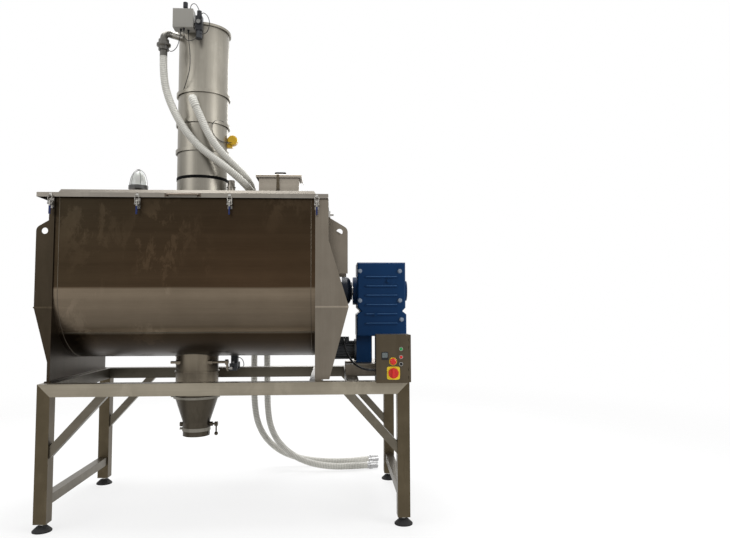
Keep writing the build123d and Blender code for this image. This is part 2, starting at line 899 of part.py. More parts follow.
# Gear housing: waisted side profile, ribbed cheeks, hubs and legs
gear_ys = (axis_y - gear_half_depth, axis_y + gear_half_depth)
gear_profile = [
    (gear_left, gear_bottom),
    (gear_right, gear_bottom),
    (gear_right, gear_waist - gear_waist_half),
    (gear_right - gear_waist_inset, gear_waist),
    (gear_right - 8, gear_waist + gear_waist_half),
    (gear_right - 8, gear_top),
    (gear_left + 5, gear_top),
    (gear_left + 5, gear_waist + gear_waist_half),
    (gear_left + gear_waist_inset, gear_waist),
    (gear_left, gear_waist - gear_waist_half),
]
with BuildPart() as gear_housing:
    plate_xz(gear_profile, *gear_ys)
    cheek_edges = gear_housing.faces().filter_by(Axis.Y).edges()
    chamfer(cheek_edges, 10)
    for row in range(gear_rib_count):
        z = gear_rib_first + row * gear_rib_pitch
        rib_xs = (gear_mid - gear_rib_length / 2, gear_mid + gear_rib_length / 2)
        rib_ys = (gear_ys[0] - gear_rib_depth, gear_ys[1] + gear_rib_depth)
        block(rib_xs, rib_ys, (z - gear_rib_height / 2, z + gear_rib_height / 2))
    for across, rise in gear_plugs:
        plug = (gear_left + across, gear_bottom + rise)
        plug_front = gear_ys[0] - gear_rib_depth - gear_plug_proud
        bar((plug[0], plug_front, plug[1]), (plug[0], axis_y, plug[1]), gear_plug_radius)
    bar((gear_left - gear_hub_length, axis_y, axis_height), (gear_mid, axis_y, axis_height), gear_hub_radius)
    bar((gear_mid, axis_y, axis_height), (gear_right + gear_cap_length, axis_y, axis_height), gear_cap_radius)
    leg_ys_gear = (axis_y - gear_leg_half_depth, axis_y + gear_leg_half_depth)
    block((gear_left, gear_left + gear_leg_width), leg_ys_gear, (bed_top, gear_bottom))
    second_leg = gear_left + gear_leg_width + gear_leg_gap
    block((second_leg, gear_right - 20), leg_ys_gear, (bed_top, gear_bottom))
    cavity_xs = (gear_left + gear_cavity_inset, gear_right - gear_cavity_inset)
    cavity_ys = (gear_ys[0] + gear_wall, gear_ys[1] - gear_wall)
    upper_zs = (gear_waist + gear_waist_half + gear_wall, gear_top - gear_wall)
    lower_zs = (gear_bottom + gear_wall, gear_waist - gear_waist_half - gear_wall)
    block(cavity_xs, cavity_ys, upper_zs, Mode.SUBTRACT)
    block(cavity_xs, cavity_ys, lower_zs, Mode.SUBTRACT)
    bore_start = (gear_left - gear_hub_length, axis_y, axis_height)
    bar(bore_start, (output_end + 2, axis_y, axis_height), output_radius + running_clearance, Mode.SUBTRACT)
save(gear_housing.part, "gear_housing")

# Motor under the drive shelf: flange, finned body, fan cowl and terminal box
motor_right = gear_left - motor_flange_length
motor_left = motor_right - motor_length
cowl_left = motor_left - motor_cowl_length
with BuildPart() as motor_body:
    bar((motor_right, axis_y, motor_height), (gear_left, axis_y, motor_height), motor_flange_radius)
    with BuildSketch(Plane.YZ.offset(motor_left)) as motor_section:
        with Locations((axis_y, motor_height)):
            Circle(motor_radius)
            with PolarLocations(motor_radius + motor_fin / 2 - 1, motor_fin_count):
                Rectangle(motor_fin + 2, motor_fin_thickness)
    extrude(motor_section.sketch, amount=motor_length)
    cowl_plane = Plane.YZ.offset(cowl_left)
    with BuildSketch(cowl_plane) as cowl_section:
        with Locations((axis_y, motor_height)):
            Circle(motor_cowl_radius)
    extrude(cowl_section.sketch, amount=motor_cowl_length)
    cowl_back = motor_body.faces().sort_by(Axis.X)[0]
    fillet(cowl_back.edges(), 14)
    box_x = motor_left + motor_length / 2
    box_z = motor_height + motor_radius
    block(
        (box_x - terminal_box[0] / 2, box_x + terminal_box[0] / 2),
        (axis_y - terminal_box[1] / 2, axis_y + terminal_box[1] / 2),
        (box_z - 8, box_z + terminal_box[2]),
    )
save(motor_body.part, "motor_body")

# Lid: one raised tray, parted along the hinge line into a fixed and a hinged leaf
lid_mid = ((lid_left + lid_right) / 2, (lid_front_y + lid_rear_y) / 2)
lid_size = (lid_right - lid_left, lid_rear_y - lid_front_y)
deck_size = (lid_size[0] - 2 * deck_end_inset, lid_size[1] - 2 * deck_front_inset)


def tray(inset, top_drop):
    with BuildPart() as form:
        with BuildSketch(Plane.XY.offset(lid_bottom)):
            with Locations(lid_mid):
                Rectangle(lid_size[0] - 2 * inset, lid_size[1] - 2 * inset)
        extrude(amount=lid_skirt - top_drop)
        with BuildSketch(Plane.XY.offset(lid_top - top_drop)):
            with Locations(lid_mid):
                Rectangle(deck_size[0] - 2 * inset, deck_size[1] - 2 * inset)
        extrude(amount=deck_rise, taper=deck_taper)
    return form.part


lid_form = tray(0, 0) - tray(lid_sheet, lid_sheet)
leaf_edge_front = hinge_y - leaf_gap / 2
leaf_edge_rear = hinge_y + leaf_gap / 2
lip_half = deck_size[0] / 2 - deck_rise
lip_xs = (lid_mid[0] - lip_half, lid_mid[0] + lip_half)
hinge_xs = [lid_left + share * lid_size[0] for share in hinge_stations]
plate_under = deck_top


def knuckle(x0, x1, toward):
    plate_ys_hinge = sorted((hinge_y, hinge_y + toward * hinge_plate_depth))
    block((x0, x1), plate_ys_hinge, (plate_under, plate_under + hinge_plate))
    bar((x0, hinge_y, hinge_z), (x1, hinge_y, hinge_z), knuckle_radius)


with BuildPart() as lid_front:
    add(lid_form)
    split(bisect_by=Plane.XZ.offset(-leaf_edge_front), keep=Keep.TOP)
    block(lip_xs, (leaf_edge_front - lid_sheet, leaf_edge_front), (deck_top - leaf_lip, deck_top))
    for x in hinge_xs:
        knuckle(x - knuckle_length / 2, x + knuckle_length / 2, -1)
        knuckle_ends = (x - knuckle_length / 2, x + knuckle_length / 2)
        bar(
            (knuckle_ends[0], hinge_y, hinge_z),
            (knuckle_ends[1], hinge_y, hinge_z),
            hinge_pin_radius + running_clearance,
            Mode.SUBTRACT,
        )
save(lid_front.part, "lid_front")

hatch_at = (left + hatch_x, front + hatch_y)
lamp_at = (left + lamp_x, front + lamp_y)
vent_at = (left + vent_x, front + vent_y)
with BuildPart() as lid_rear:
    add(lid_form)
    split(bisect_by=Plane.XZ.offset(-leaf_edge_rear), keep=Keep.BOTTOM)
    block(lip_xs, (leaf_edge_rear, leaf_edge_rear + lid_sheet), (deck_top - leaf_lip, deck_top))
    with BuildSketch(Plane.XY.offset(deck_top)):
        with Locations(receiver_at):
            Circle(receiver_radius - receiver_wall)
        with Locations(hatch_at):
            Rectangle(hatch_width - 2 * hatch_wall, hatch_depth - 2 * hatch_wall)
        with Locations(vent_at):
            Circle(vent_radius - vent_wall)
    extrude(amount=-3 * lid_sheet, mode=Mode.SUBTRACT)
    for x in hinge_xs:
        for side in (-1, 1):
            inner = x + side * (knuckle_length / 2 + hinge_gap)
            outer = inner + side * knuckle_length
            knuckle(min(inner, outer), max(inner, outer), 1)
        pin_half = 1.5 * knuckle_length
        bar((x - pin_half, hinge_y, hinge_z), (x + pin_half, hinge_y, hinge_z), hinge_pin_radius)
    vent_top = deck_top + vent_height
    ring_bar((*vent_at, deck_top), (*vent_at, vent_top), vent_radius, vent_radius - vent_wall)
    bar((*vent_at, vent_top), (*vent_at, vent_top + 8), vent_radius + 5)
save(lid_rear.part, "lid_rear")

# Seals: lid gasket on the trough rim and the rubber sleeve under the receiver
gasket_top = lid_top - lid_sheet - gasket_clearance
with BuildPart() as rubber_seals:
    with BuildSketch(Plane.XY.offset(rim_height)):
        with Locations((trough_mid, axis_y)):
            Rectangle(trough_length + 2 * end_plate + 2 * gasket_width, 2 * (shell_radius + gasket_width))
            Rectangle(trough_length, 2 * trough_radius, mode=Mode.SUBTRACT)
    extrude(amount=gasket_top - rim_height)
    ring_bar(
        (*receiver_at, collar_top),
        (*receiver_at, sleeve_top),
        receiver_radius + sleeve_proud,
        receiver_radius - receiver_wall,
    )
save(rubber_seals.part, "rubber_seals")

# Handle and latch keepers on the front skirt of the lid
keeper_xs = (
    trough_left - latch_idle_reach,
    trough_left + latch_idle_inset,
    trough_right - latch_drive_inset,
    trough_right + latch_drive_reach,
)
with BuildPart() as lid_fittings:
    handle_x = (keeper_xs[1] + keeper_xs[2]) / 2 - handle_shift
    handle_z = lid_bottom + lid_skirt / 2
    grip_y = lid_front_y - handle_standoff
    handle_feet = (handle_x - handle_length / 2, handle_x + handle_length / 2)
    with BuildLine() as handle_path:
        FilletPolyline(
            (handle_feet[0], lid_front_y, handle_z),
            (handle_feet[0], grip_y, handle_z),
            (handle_feet[1], grip_y, handle_z),
            (handle_feet[1], lid_front_y, handle_z),
            radius=handle_bend,
        )
    with BuildSketch(Plane(origin=handle_path.line @ 0, z_dir=handle_path.line % 0)) as handle_section:
        Circle(handle_radius)
    sweep(handle_section.sketch, path=handle_path.line)
    for foot_x in handle_feet:
        block((foot_x - 16, foot_x + 16), (lid_front_y - 4, lid_front_y), (handle_z - 14, handle_z + 14))
    for x in keeper_xs:
        keeper_span = (x - keeper_half_width, x + keeper_half_width)
        ledge_top = keeper_ledge_height + keeper_ledge
        plate_zs = (ledge_top - 8, ledge_top - 8 + keeper_plate_height)
        block(keeper_span, (lid_front_y - keeper_plate, lid_front_y), plate_zs)
        block(keeper_span, (lid_front_y - keeper_reach, lid_front_y), (keeper_ledge_height, ledge_top))
save(lid_fittings.part, "lid_fittings")

# Toggle latches: base with pin, lever and wire bail
pivot_y = lid_front_y - latch_pivot_out
bail_y = pivot_y + bail_pivot_in
bail_z = latch_pivot_height - bail_pivot_drop
bar_y = lid_front_y - keeper_reach - bail_seat_gap - bail_wire
bar_z = keeper_ledge_height + keeper_ledge
strip_face = axis_y - end_half_width
panel_face = axis_y - shell_radius
with BuildPart() as latch_bases:
    for index, x in enumerate(keeper_xs):
        wall_face = strip_face if index in (0, len(keeper_xs) - 1) else panel_face
        base_face = strip_face - latch_base_thickness
        base_span = (x - latch_half_width, x + latch_half_width)
        block(base_span, (base_face, wall_face), (latch_base_bottom, latch_base_top))
        for side in (-1, 1):
            ear_xs = sorted((x + side * latch_ear_inner, x + side * latch_ear_outer))
            arm_zs = (latch_pivot_height - latch_ear_radius, latch_pivot_height + latch_ear_radius)
            block(ear_xs, (pivot_y, base_face), arm_zs)
            ear_start = (ear_xs[0], pivot_y, latch_pivot_height)
            bar(ear_start, (ear_xs[1], pivot_y, latch_pivot_height), latch_ear_radius)
        pin_ends = (x - latch_ear_outer, x + latch_ear_outer)
        pin_start = (pin_ends[0], pivot_y, latch_pivot_height)
        bar(pin_start, (pin_ends[1], pivot_y, latch_pivot_height), latch_pin_radius)
save(latch_bases.part, "latch_bases")

for number, x in enumerate(keeper_xs, start=1):
    with BuildPart() as latch_lever:
        span = (x - lever_half_width, x + lever_half_width)
        for y, z, boss in ((pivot_y, latch_pivot_height, 8.0), (bail_y, bail_z, 7.0)):
            bar((span[0], y, z), (span[1], y, z), boss)
        shank = [
            (pivot_y - lever_half_depth, latch_pivot_height),
            (pivot_y + lever_half_depth, latch_pivot_height),
            (bail_y + lever_half_depth, bail_z),
            (bail_y + lever_half_depth - 4, lever_bottom),
            (bail_y - lever_half_depth - 6, lever_bottom),
            (pivot_y - lever_half_depth, bail_z),
        ]
        plate_yz(shank, *span)
        pin_out = bail_half_width + bail_wire + 2
        bar((x - pin_out, bail_y, bail_z), (x + pin_out, bail_y, bail_z), latch_pin_radius)
        bore = latch_pin_radius + running_clearance
        bore_start = (span[0], pivot_y, latch_pivot_height)
        bar(bore_start, (span[1], pivot_y, latch_pivot_height), bore, Mode.SUBTRACT)
    save(latch_lever.part, f"latch_lever_{number}")

    with BuildPart() as latch_bail:
        bail_legs = (x - bail_half_width, x + bail_half_width)
        with BuildLine() as bail_path:
            FilletPolyline(
                (bail_legs[0], bail_y, bail_z),
                (bail_legs[0], bar_y, bar_z),
                (bail_legs[1], bar_y, bar_z),
                (bail_legs[1], bail_y, bail_z),
                radius=bail_bend,
            )
        with BuildSketch(Plane(origin=bail_path.line @ 0, z_dir=bail_path.line % 0)) as bail_section:
            Circle(bail_wire)
        sweep(bail_section.sketch, path=bail_path.line)
        eye_out = latch_pin_radius + bail_wire
        eye_in = latch_pin_radius + running_clearance
        for leg_x in bail_legs:
            bar((leg_x - bail_wire - 1, bail_y, bail_z), (leg_x + bail_wire + 1, bail_y, bail_z), eye_out)
        for leg_x in bail_legs:
            eye_ends = ((leg_x - bail_wire - 1, bail_y, bail_z), (leg_x + bail_wire + 1, bail_y, bail_z))
            bar(*eye_ends, eye_in, Mode.SUBTRACT)
    save(latch_bail.part, f"latch_bail_{number}")

# Hatch: welded neck with a turned rim, hinged cover with lip and handle
hatch_half = (hatch_width / 2, hatch_depth / 2)
hatch_hinge_y = hatch_at[1] + hatch_half[1] + hatch_flange + hatch_knuckle_radius + 6
hatch_hinge_z = hatch_rim_height + hatch_gap
cover_half = (
    hatch_half[0] + hatch_flange + hatch_cover_lip_gap,
    hatch_half[1] + hatch_flange + hatch_cover_lip_gap,
)
cover_under = hatch_rim_height + hatch_gap
hatch_knuckles = (hatch_at[0] - hatch_half[0] * 0.6, hatch_at[0] + hatch_half[0] * 0.6)
with BuildPart() as hatch_neck:
    with BuildSketch(Plane.XY.offset(deck_top)):
        with Locations(hatch_at):
            Rectangle(hatch_width, hatch_depth)
            Rectangle(hatch_width - 2 * hatch_wall, hatch_depth - 2 * hatch_wall, mode=Mode.SUBTRACT)
    extrude(amount=hatch_rim_height - deck_top)
    with BuildSketch(Plane.XY.offset(hatch_rim_height - hatch_wall)):
        with Locations(hatch_at):
            Rectangle(hatch_width + 2 * hatch_flange, hatch_depth + 2 * hatch_flange)
            Rectangle(hatch_width - 2 * hatch_wall, hatch_depth - 2 * hatch_wall, mode=Mode.SUBTRACT)
    extrude(amount=hatch_wall)
    for x in hatch_knuckles:
        for side in (-1, 1):
            tab_xs = sorted((x + side * 13, x + side * 23))
            tab_ys = (hatch_at[1] + hatch_half[1], hatch_hinge_y)
            block(tab_xs, tab_ys, (hatch_hinge_z - 40, hatch_rim_height - hatch_wall))
            ends = ((tab_xs[0], hatch_hinge_y, hatch_hinge_z), (tab_xs[1], hatch_hinge_y, hatch_hinge_z))
            bar(*ends, hatch_knuckle_radius)
            block(tab_xs, (hatch_hinge_y - 8, hatch_hinge_y + 8), (hatch_hinge_z - 40, hatch_hinge_z))
        bar((x - 23, hatch_hinge_y, hatch_hinge_z), (x + 23, hatch_hinge_y, hatch_hinge_z), hatch_pin_radius)
save(hatch_neck.part, "hatch_neck")

with BuildPart() as hatch_cover:
    lip_bottom = cover_under - hatch_cover_lip
    cover_top = cover_under + hatch_cover_rise
    with BuildSketch(Plane.XY.offset(lip_bottom)):
        with Locations(hatch_at):
            Rectangle(2 * cover_half[0] + 6, 2 * cover_half[1] + 6)
            Rectangle(2 * cover_half[0], 2 * cover_half[1], mode=Mode.SUBTRACT)
    extrude(amount=hatch_cover_lip)
    with BuildSketch(Plane.XY.offset(cover_under)):
        with Locations(hatch_at):
            Rectangle(2 * cover_half[0] + 6, 2 * cover_half[1] + 6)
    extrude(amount=hatch_cover_rise, taper=45)
    rear_lip = hatch_at[1] + cover_half[1]
    lip_cut = (hatch_at[0] - cover_half[0], hatch_at[0] + cover_half[0])
    block(lip_cut, (rear_lip, rear_lip + 4), (lip_bottom, cover_under), Mode.SUBTRACT)
    for x in hatch_knuckles:
        block((x - 25, x + 25), (rear_lip - 1, rear_lip + 4), (lip_bottom, cover_top + 1), Mode.SUBTRACT)
        block((x - 12, x + 12), (rear_lip - 40, hatch_hinge_y), (cover_under, cover_top))
        knuckle_line = ((x - 12, hatch_hinge_y, hatch_hinge_z), (x + 12, hatch_hinge_y, hatch_hinge_z))
        bar(*knuckle_line, hatch_knuckle_radius)
        pin_hole = hatch_pin_radius + running_clearance
        bar((x - 12, hatch_hinge_y, hatch_hinge_z), (x + 12, hatch_hinge_y, hatch_hinge_z),
            pin_hole, Mode.SUBTRACT)
    grip_z = cover_top + hatch_handle_height
    grip_feet = (hatch_at[0] - hatch_handle_span / 2, hatch_at[0] + hatch_handle_span / 2)
    with BuildLine() as grip_path:
        FilletPolyline(
            (grip_feet[0], hatch_at[1], cover_top - 2),
            (grip_feet[0], hatch_at[1], grip_z),
            (grip_feet[1], hatch_at[1], grip_z),
            (grip_feet[1], hatch_at[1], cover_top - 2),
            radius=hatch_handle_bend,
        )
    with BuildSketch(Plane(origin=grip_path.line @ 0, z_dir=grip_path.line % 0)) as grip_section:
        Circle(hatch_handle_radius)
    sweep(grip_section.sketch, path=grip_path.line)
save(hatch_cover.part, "hatch_cover")

# Lamp: post, base ring and wire guard over a pointed dome
lamp_foot = deck_top + lamp_post_height
dome_bottom = lamp_foot + lamp_base_height
dome_shoulder = (0.62, 0.42)


def dome_curve(radius, height, tip):
    shoulder_low = (radius, height * dome_shoulder[0])
    shoulder_high = (tip + (radius - tip) * dome_shoulder[1], height)
    return Bezier((radius, 0), shoulder_low, shoulder_high, (tip, height))


with BuildPart() as lamp_base:
    bar((*lamp_at, deck_top), (*lamp_at, lamp_foot), lamp_post_radius)
    bar((*lamp_at, lamp_foot), (*lamp_at, dome_bottom), lamp_base_radius)
    wire_radius = lamp_dome_radius + lamp_wire_gap + lamp_wire
    wire_rise = lamp_dome_height + lamp_wire_gap + lamp_wire
    for turn in range(lamp_wire_count):
        angle = 2 * pi * turn / lamp_wire_count
        rib_plane = Plane(
            origin=(*lamp_at, dome_bottom - 2),
            x_dir=(cos(angle), sin(angle), 0),
            z_dir=(sin(angle), -cos(angle), 0),
        )
        with BuildLine(rib_plane) as rib_path:
            dome_curve(wire_radius, wire_rise, lamp_crown_radius / 2)
        with BuildSketch(Plane(origin=rib_path.line @ 0, z_dir=rib_path.line % 0)) as rib_section:
            Circle(lamp_wire)
        sweep(rib_section.sketch, path=rib_path.line)
    crown_z = dome_bottom - 2 + wire_rise
    bar((*lamp_at, crown_z - 3), (*lamp_at, crown_z + 4), lamp_crown_radius)
save(lamp_base.part, "lamp_base")

with BuildPart() as lamp_lens:
    lens_plane = Plane(origin=(*lamp_at, dome_bottom), x_dir=(1, 0, 0), z_dir=(0, -1, 0))
    with BuildSketch(lens_plane) as lens_section:
        lens_inner = lamp_dome_radius - lamp_wall
        with BuildLine():
            dome_curve(lamp_dome_radius, lamp_dome_height, 0)
            Line((0, lamp_dome_height), (0, lamp_dome_height - lamp_wall))
            dome_curve(lens_inner, lamp_dome_height - lamp_wall, 0)
            Line((lens_inner, 0), (lamp_dome_radius, 0))
        make_face()
    revolve(axis=Axis((*lamp_at, 0), (0, 0, 1)))
save(lamp_lens.part, "lamp_lens")

# Receiver: bolted collar, stacked shell sections with rolled beads, dished cover
inner_radius = receiver_radius - receiver_wall
flap_height = (deck_top + collar_top) / 2
section_edges = (collar_top + sleeve_height, *section_heights, receiver_top)
with BuildPart() as receiver_shells:
    collar = [
        (inner_radius, deck_top),
        (receiver_radius + receiver_foot, deck_top),
        (receiver_radius + receiver_foot, deck_top + 8),
        (receiver_radius, deck_top + 8),
        (receiver_radius, collar_top),
        (inner_radius, collar_top),
    ]
    turned(receiver_at, collar)
    spindle_out = receiver_radius + flap_spindle_proud
    spindle = (
        (receiver_at[0] - spindle_out, receiver_at[1], flap_height),
        (receiver_at[0] + spindle_out, receiver_at[1], flap_height),
    )
    bar(*spindle, flap_spindle_radius + running_clearance, Mode.SUBTRACT)
    for index, (low, high) in enumerate(zip(section_edges, section_edges[1:])):
        low_bead = receiver_radius + (section_bead if index else 0)
        high_bead = receiver_radius + section_bead
        section = [
            (inner_radius, low),
            (low_bead, low),
            (low_bead, low + 4),
            (receiver_radius, low + 4),
            (receiver_radius, high - 4),
            (high_bead, high - 4),
            (high_bead, high),
            (inner_radius, high),
        ]
        turned(receiver_at, section)
    cover = [
        (0, receiver_top),
        (receiver_radius + section_bead, receiver_top),
        (receiver_radius + section_bead, receiver_top + 4),
        (receiver_radius * 0.55, receiver_top + cover_rise * 0.8),
        (0, receiver_top + cover_rise),
    ]
    turned(receiver_at, cover)
save(receiver_shells.part, "receiver_shells")

# Clamp rings over the receiver joints, the discharge joint and the bag band
with BuildPart() as clamp_rings:
    bead_inner = receiver_radius + section_bead
    for height in section_heights:
        bead_ends = ((*receiver_at, height - clamp_bead), (*receiver_at, height + clamp_bead))
        ring_bar(*bead_ends, bead_inner + clamp_wall, bead_inner)
    top_ring = [
        (bead_inner, receiver_top - cover_rim / 2),
        (bead_inner + 8, receiver_top - cover_rim / 2),
        (bead_inner + 8, receiver_top + cover_rim / 2),
        (bead_inner, receiver_top + cover_rim / 2),
    ]
    turned(receiver_at, top_ring)
    joint = neck_bottom
    ring_ends = ((*neck_at, joint - clamp_ring_height / 2), (*neck_at, joint + clamp_ring_height / 2))
    ring_bar(*ring_ends, clamp_ring_radius, clamp_ring_radius - 8)
    band_ends = ((*neck_at, band_center - band_height / 2), (*neck_at, band_center + band_height / 2))
    ring_bar(*band_ends, outlet_radius + band_thickness, outlet_radius)
    for lug_radius, height in ((clamp_ring_radius, joint), (outlet_radius + band_thickness, band_center)):
        lug_x = neck_at[0] - lug_radius
        lug_ys = (neck_at[1] - 11, neck_at[1] + 11)
        block((lug_x - 22, lug_x + 2), lug_ys, (height - 9, height + 9))
        bar((lug_x - 14, neck_at[1] - 30, height), (lug_x - 14, neck_at[1] + 30, height), 6)
save(clamp_rings.part, "clamp_rings")

# Receiver flap on a spindle across the collar
with BuildPart() as receiver_flap:
    bar(*spindle, flap_spindle_radius)
    disc_ends = ((*receiver_at, flap_height - flap_disc / 2), (*receiver_at, flap_height + flap_disc / 2))
    bar(*disc_ends, inner_radius - flap_disc_gap)
save(receiver_flap.part, "receiver_flap")

# Vacuum port with diaphragm valve, and the inlet elbow
port_way = Vector(cos(radians(port_angle)), sin(radians(port_angle)), 0)
port_root = Vector(*receiver_at, port_height) + port_way * (receiver_radius - 6)
port_knee = Vector(*receiver_at, port_height) + port_way * port_reach
port_foot = Vector(port_knee.X, port_knee.Y, port_bottom)
inlet_y = receiver_at[1] - sqrt(receiver_radius**2 - (left + inlet_x - receiver_at[0]) ** 2)
inlet_root = Vector(left + inlet_x, inlet_y + 16, inlet_height)
inlet_knee = Vector(left + inlet_x, inlet_y - inlet_reach, inlet_height)
inlet_way = Vector(0.40, 0, -0.9165)
inlet_foot = inlet_knee + inlet_way * 100
with BuildPart() as receiver_ports:
    for path_points in ((port_root, port_knee, port_foot), (inlet_root, inlet_knee, inlet_foot)):
        with BuildLine() as pipe:
            FilletPolyline(*path_points, radius=port_bend)
        with BuildSketch(Plane(origin=pipe.line @ 0, z_dir=pipe.line % 0)) as pipe_section:
            Circle(port_radius)
            Circle(port_radius - port_wall, mode=Mode.SUBTRACT)
        sweep(pipe_section.sketch, path=pipe.line)
    valve_at = (port_knee.X, port_knee.Y)
    valve_profile = [
        (port_radius, valve_top - valve_length),
        (valve_radius * 0.75, valve_top - valve_length),
        (valve_radius * 0.75, valve_top - valve_length * 0.7),
        (valve_radius, valve_top - valve_length * 0.6),
        (valve_radius, valve_top - valve_length * 0.4),
        (valve_radius * 0.75, valve_top - valve_length * 0.3),
        (valve_radius * 0.75, valve_top),
        (port_radius, valve_top),
    ]
    turned(valve_at, valve_profile)
    bar((*receiver_at, section_heights[1]), (*receiver_at, receiver_top), receiver_radius, Mode.SUBTRACT)
save(receiver_ports.part, "receiver_ports")

# Air control box with its regulator, on a bracket at the receiver's rim
box_mid_x = left + air_box_x
air_rear = receiver_at[1] - receiver_radius - section_bead - air_box_gap
air_front = air_rear - air_box_size[1]
air_top = air_box_bottom + air_box_size[2]
with BuildPart() as air_box:
    air_xs = (box_mid_x - air_box_size[0] / 2, box_mid_x + air_box_size[0] / 2)
    block(air_xs, (air_front, air_rear), (air_box_bottom, air_top))
    fillet(air_box.edges().filter_by(Axis.Z), 6)
    hollow_xs = (air_xs[0] + air_box_wall, air_xs[1] - air_box_wall)
    hollow_ys = (air_front + air_box_wall, air_rear - air_box_wall)
    block(hollow_xs, hollow_ys, (air_box_bottom + air_box_wall, air_top - air_box_wall), Mode.SUBTRACT)
    bracket_xs = (box_mid_x - 20, box_mid_x + 50)
    bracket_zs = (air_box_bottom + 18, air_box_bottom + 38)
    block(bracket_xs, (air_rear, receiver_at[1] - receiver_radius * 0.8), bracket_zs)
    with BuildSketch(Plane.XY.offset(air_box_bottom)) as receiver_cut:
        with Locations(receiver_at):
            Circle(receiver_radius)
    extrude(receiver_cut.sketch, amount=air_box_size[2] / 2, mode=Mode.SUBTRACT)
    regulator_at = (box_mid_x + 10, (air_front + air_rear) / 2)
    turned(
        regulator_at,
        [
            (0, air_top),
            (regulator_radius * 0.7, air_top),
            (regulator_radius * 0.7, air_top + regulator_height * 0.35),
            (regulator_radius, air_top + regulator_height * 0.4),
            (regulator_radius, air_top + regulator_height - 4),
            (regulator_radius - 4, air_top + regulator_height),
            (0, air_top + regulator_height),
        ],
    )
    unit_at = (air_xs[1] + air_unit_gap + air_unit_half, regulator_at[1])
    unit_zs = (air_box_bottom - 10, air_box_bottom - 10 + air_unit_height)
    unit_mid_z = (unit_zs[0] + unit_zs[1]) / 2
    block(
        (unit_at[0] - air_unit_half, unit_at[0] + air_unit_half),
        (unit_at[1] - air_unit_half, unit_at[1] + air_unit_half),
        unit_zs,
    )
    bar((air_xs[1] - air_box_wall, unit_at[1], unit_mid_z), (unit_at[0], unit_at[1], unit_mid_z), 10)
    bar((*unit_at, unit_zs[0] - air_bowl_height), (*unit_at, unit_zs[0]), air_bowl_radius)
    bar((*unit_at, unit_zs[1]), (*unit_at, unit_zs[1] + air_knob_height), regulator_radius)
save(air_box.part, "air_box")

# Vibrator on a bracket at the drive side of the receiver
vib_x = receiver_at[0] + receiver_radius
with BuildPart() as vibrator:
    vib_mid = vib_x + vibrator_reach
    vib_ys = (receiver_at[1] - vibrator_length / 2, receiver_at[1] + vibrator_length / 2)
    bar((vib_mid, vib_ys[0], vibrator_height), (vib_mid, vib_ys[1], vibrator_height), vibrator_radius)
    fillet(vibrator.edges(), 8)
    bracket_xs = (vib_x - 40, vib_mid)
    block(bracket_xs, (vib_ys[0] + 12, vib_ys[1] - 12), (vibrator_height - 70, vibrator_height - 30))
    receiver_line = ((*receiver_at, vibrator_height - 90), (*receiver_at, vibrator_height + 90))
    bar(*receiver_line, receiver_radius, Mode.SUBTRACT)
save(vibrator.part, "vibrator")

# Discharge neck, saddled to the trough bottom, with pivot bosses and the seam bead
pivot_at_y = axis_y - flap_pivot_y
neck_inner = neck_radius - neck_wall
boss_reach = sqrt(neck_radius**2 - flap_pivot_y**2) + flap_boss_length
with BuildPart() as discharge_neck:
    ring_bar((*neck_at, neck_bottom), (*neck_at, axis_height - trough_radius / 2), neck_radius, neck_inner)
    seam = ((*neck_at, neck_seam - 6), (*neck_at, neck_seam + 6))
    ring_bar(*seam, neck_radius + seam_bead, neck_radius - 1)
    flange_line = ((*neck_at, neck_bottom), (*neck_at, neck_bottom + 5))
    ring_bar(*flange_line, clamp_ring_radius - 8, neck_inner)
    boss_line = ((neck_at[0] - boss_reach, pivot_at_y, flap_pivot_height),
                 (neck_at[0] + boss_reach, pivot_at_y, flap_pivot_height))
    bar(*boss_line, flap_boss_radius)
    bar((*neck_at, neck_bottom), (*neck_at, axis_height), neck_inner, Mode.SUBTRACT)
    bar(*boss_line, flap_rod_radius + running_clearance, Mode.SUBTRACT)
    trough_line = ((trough_left, axis_y, axis_height), (trough_right, axis_y, axis_height))
    bar(*trough_line, shell_radius, Mode.SUBTRACT)
save(discharge_neck.part, "discharge_neck")

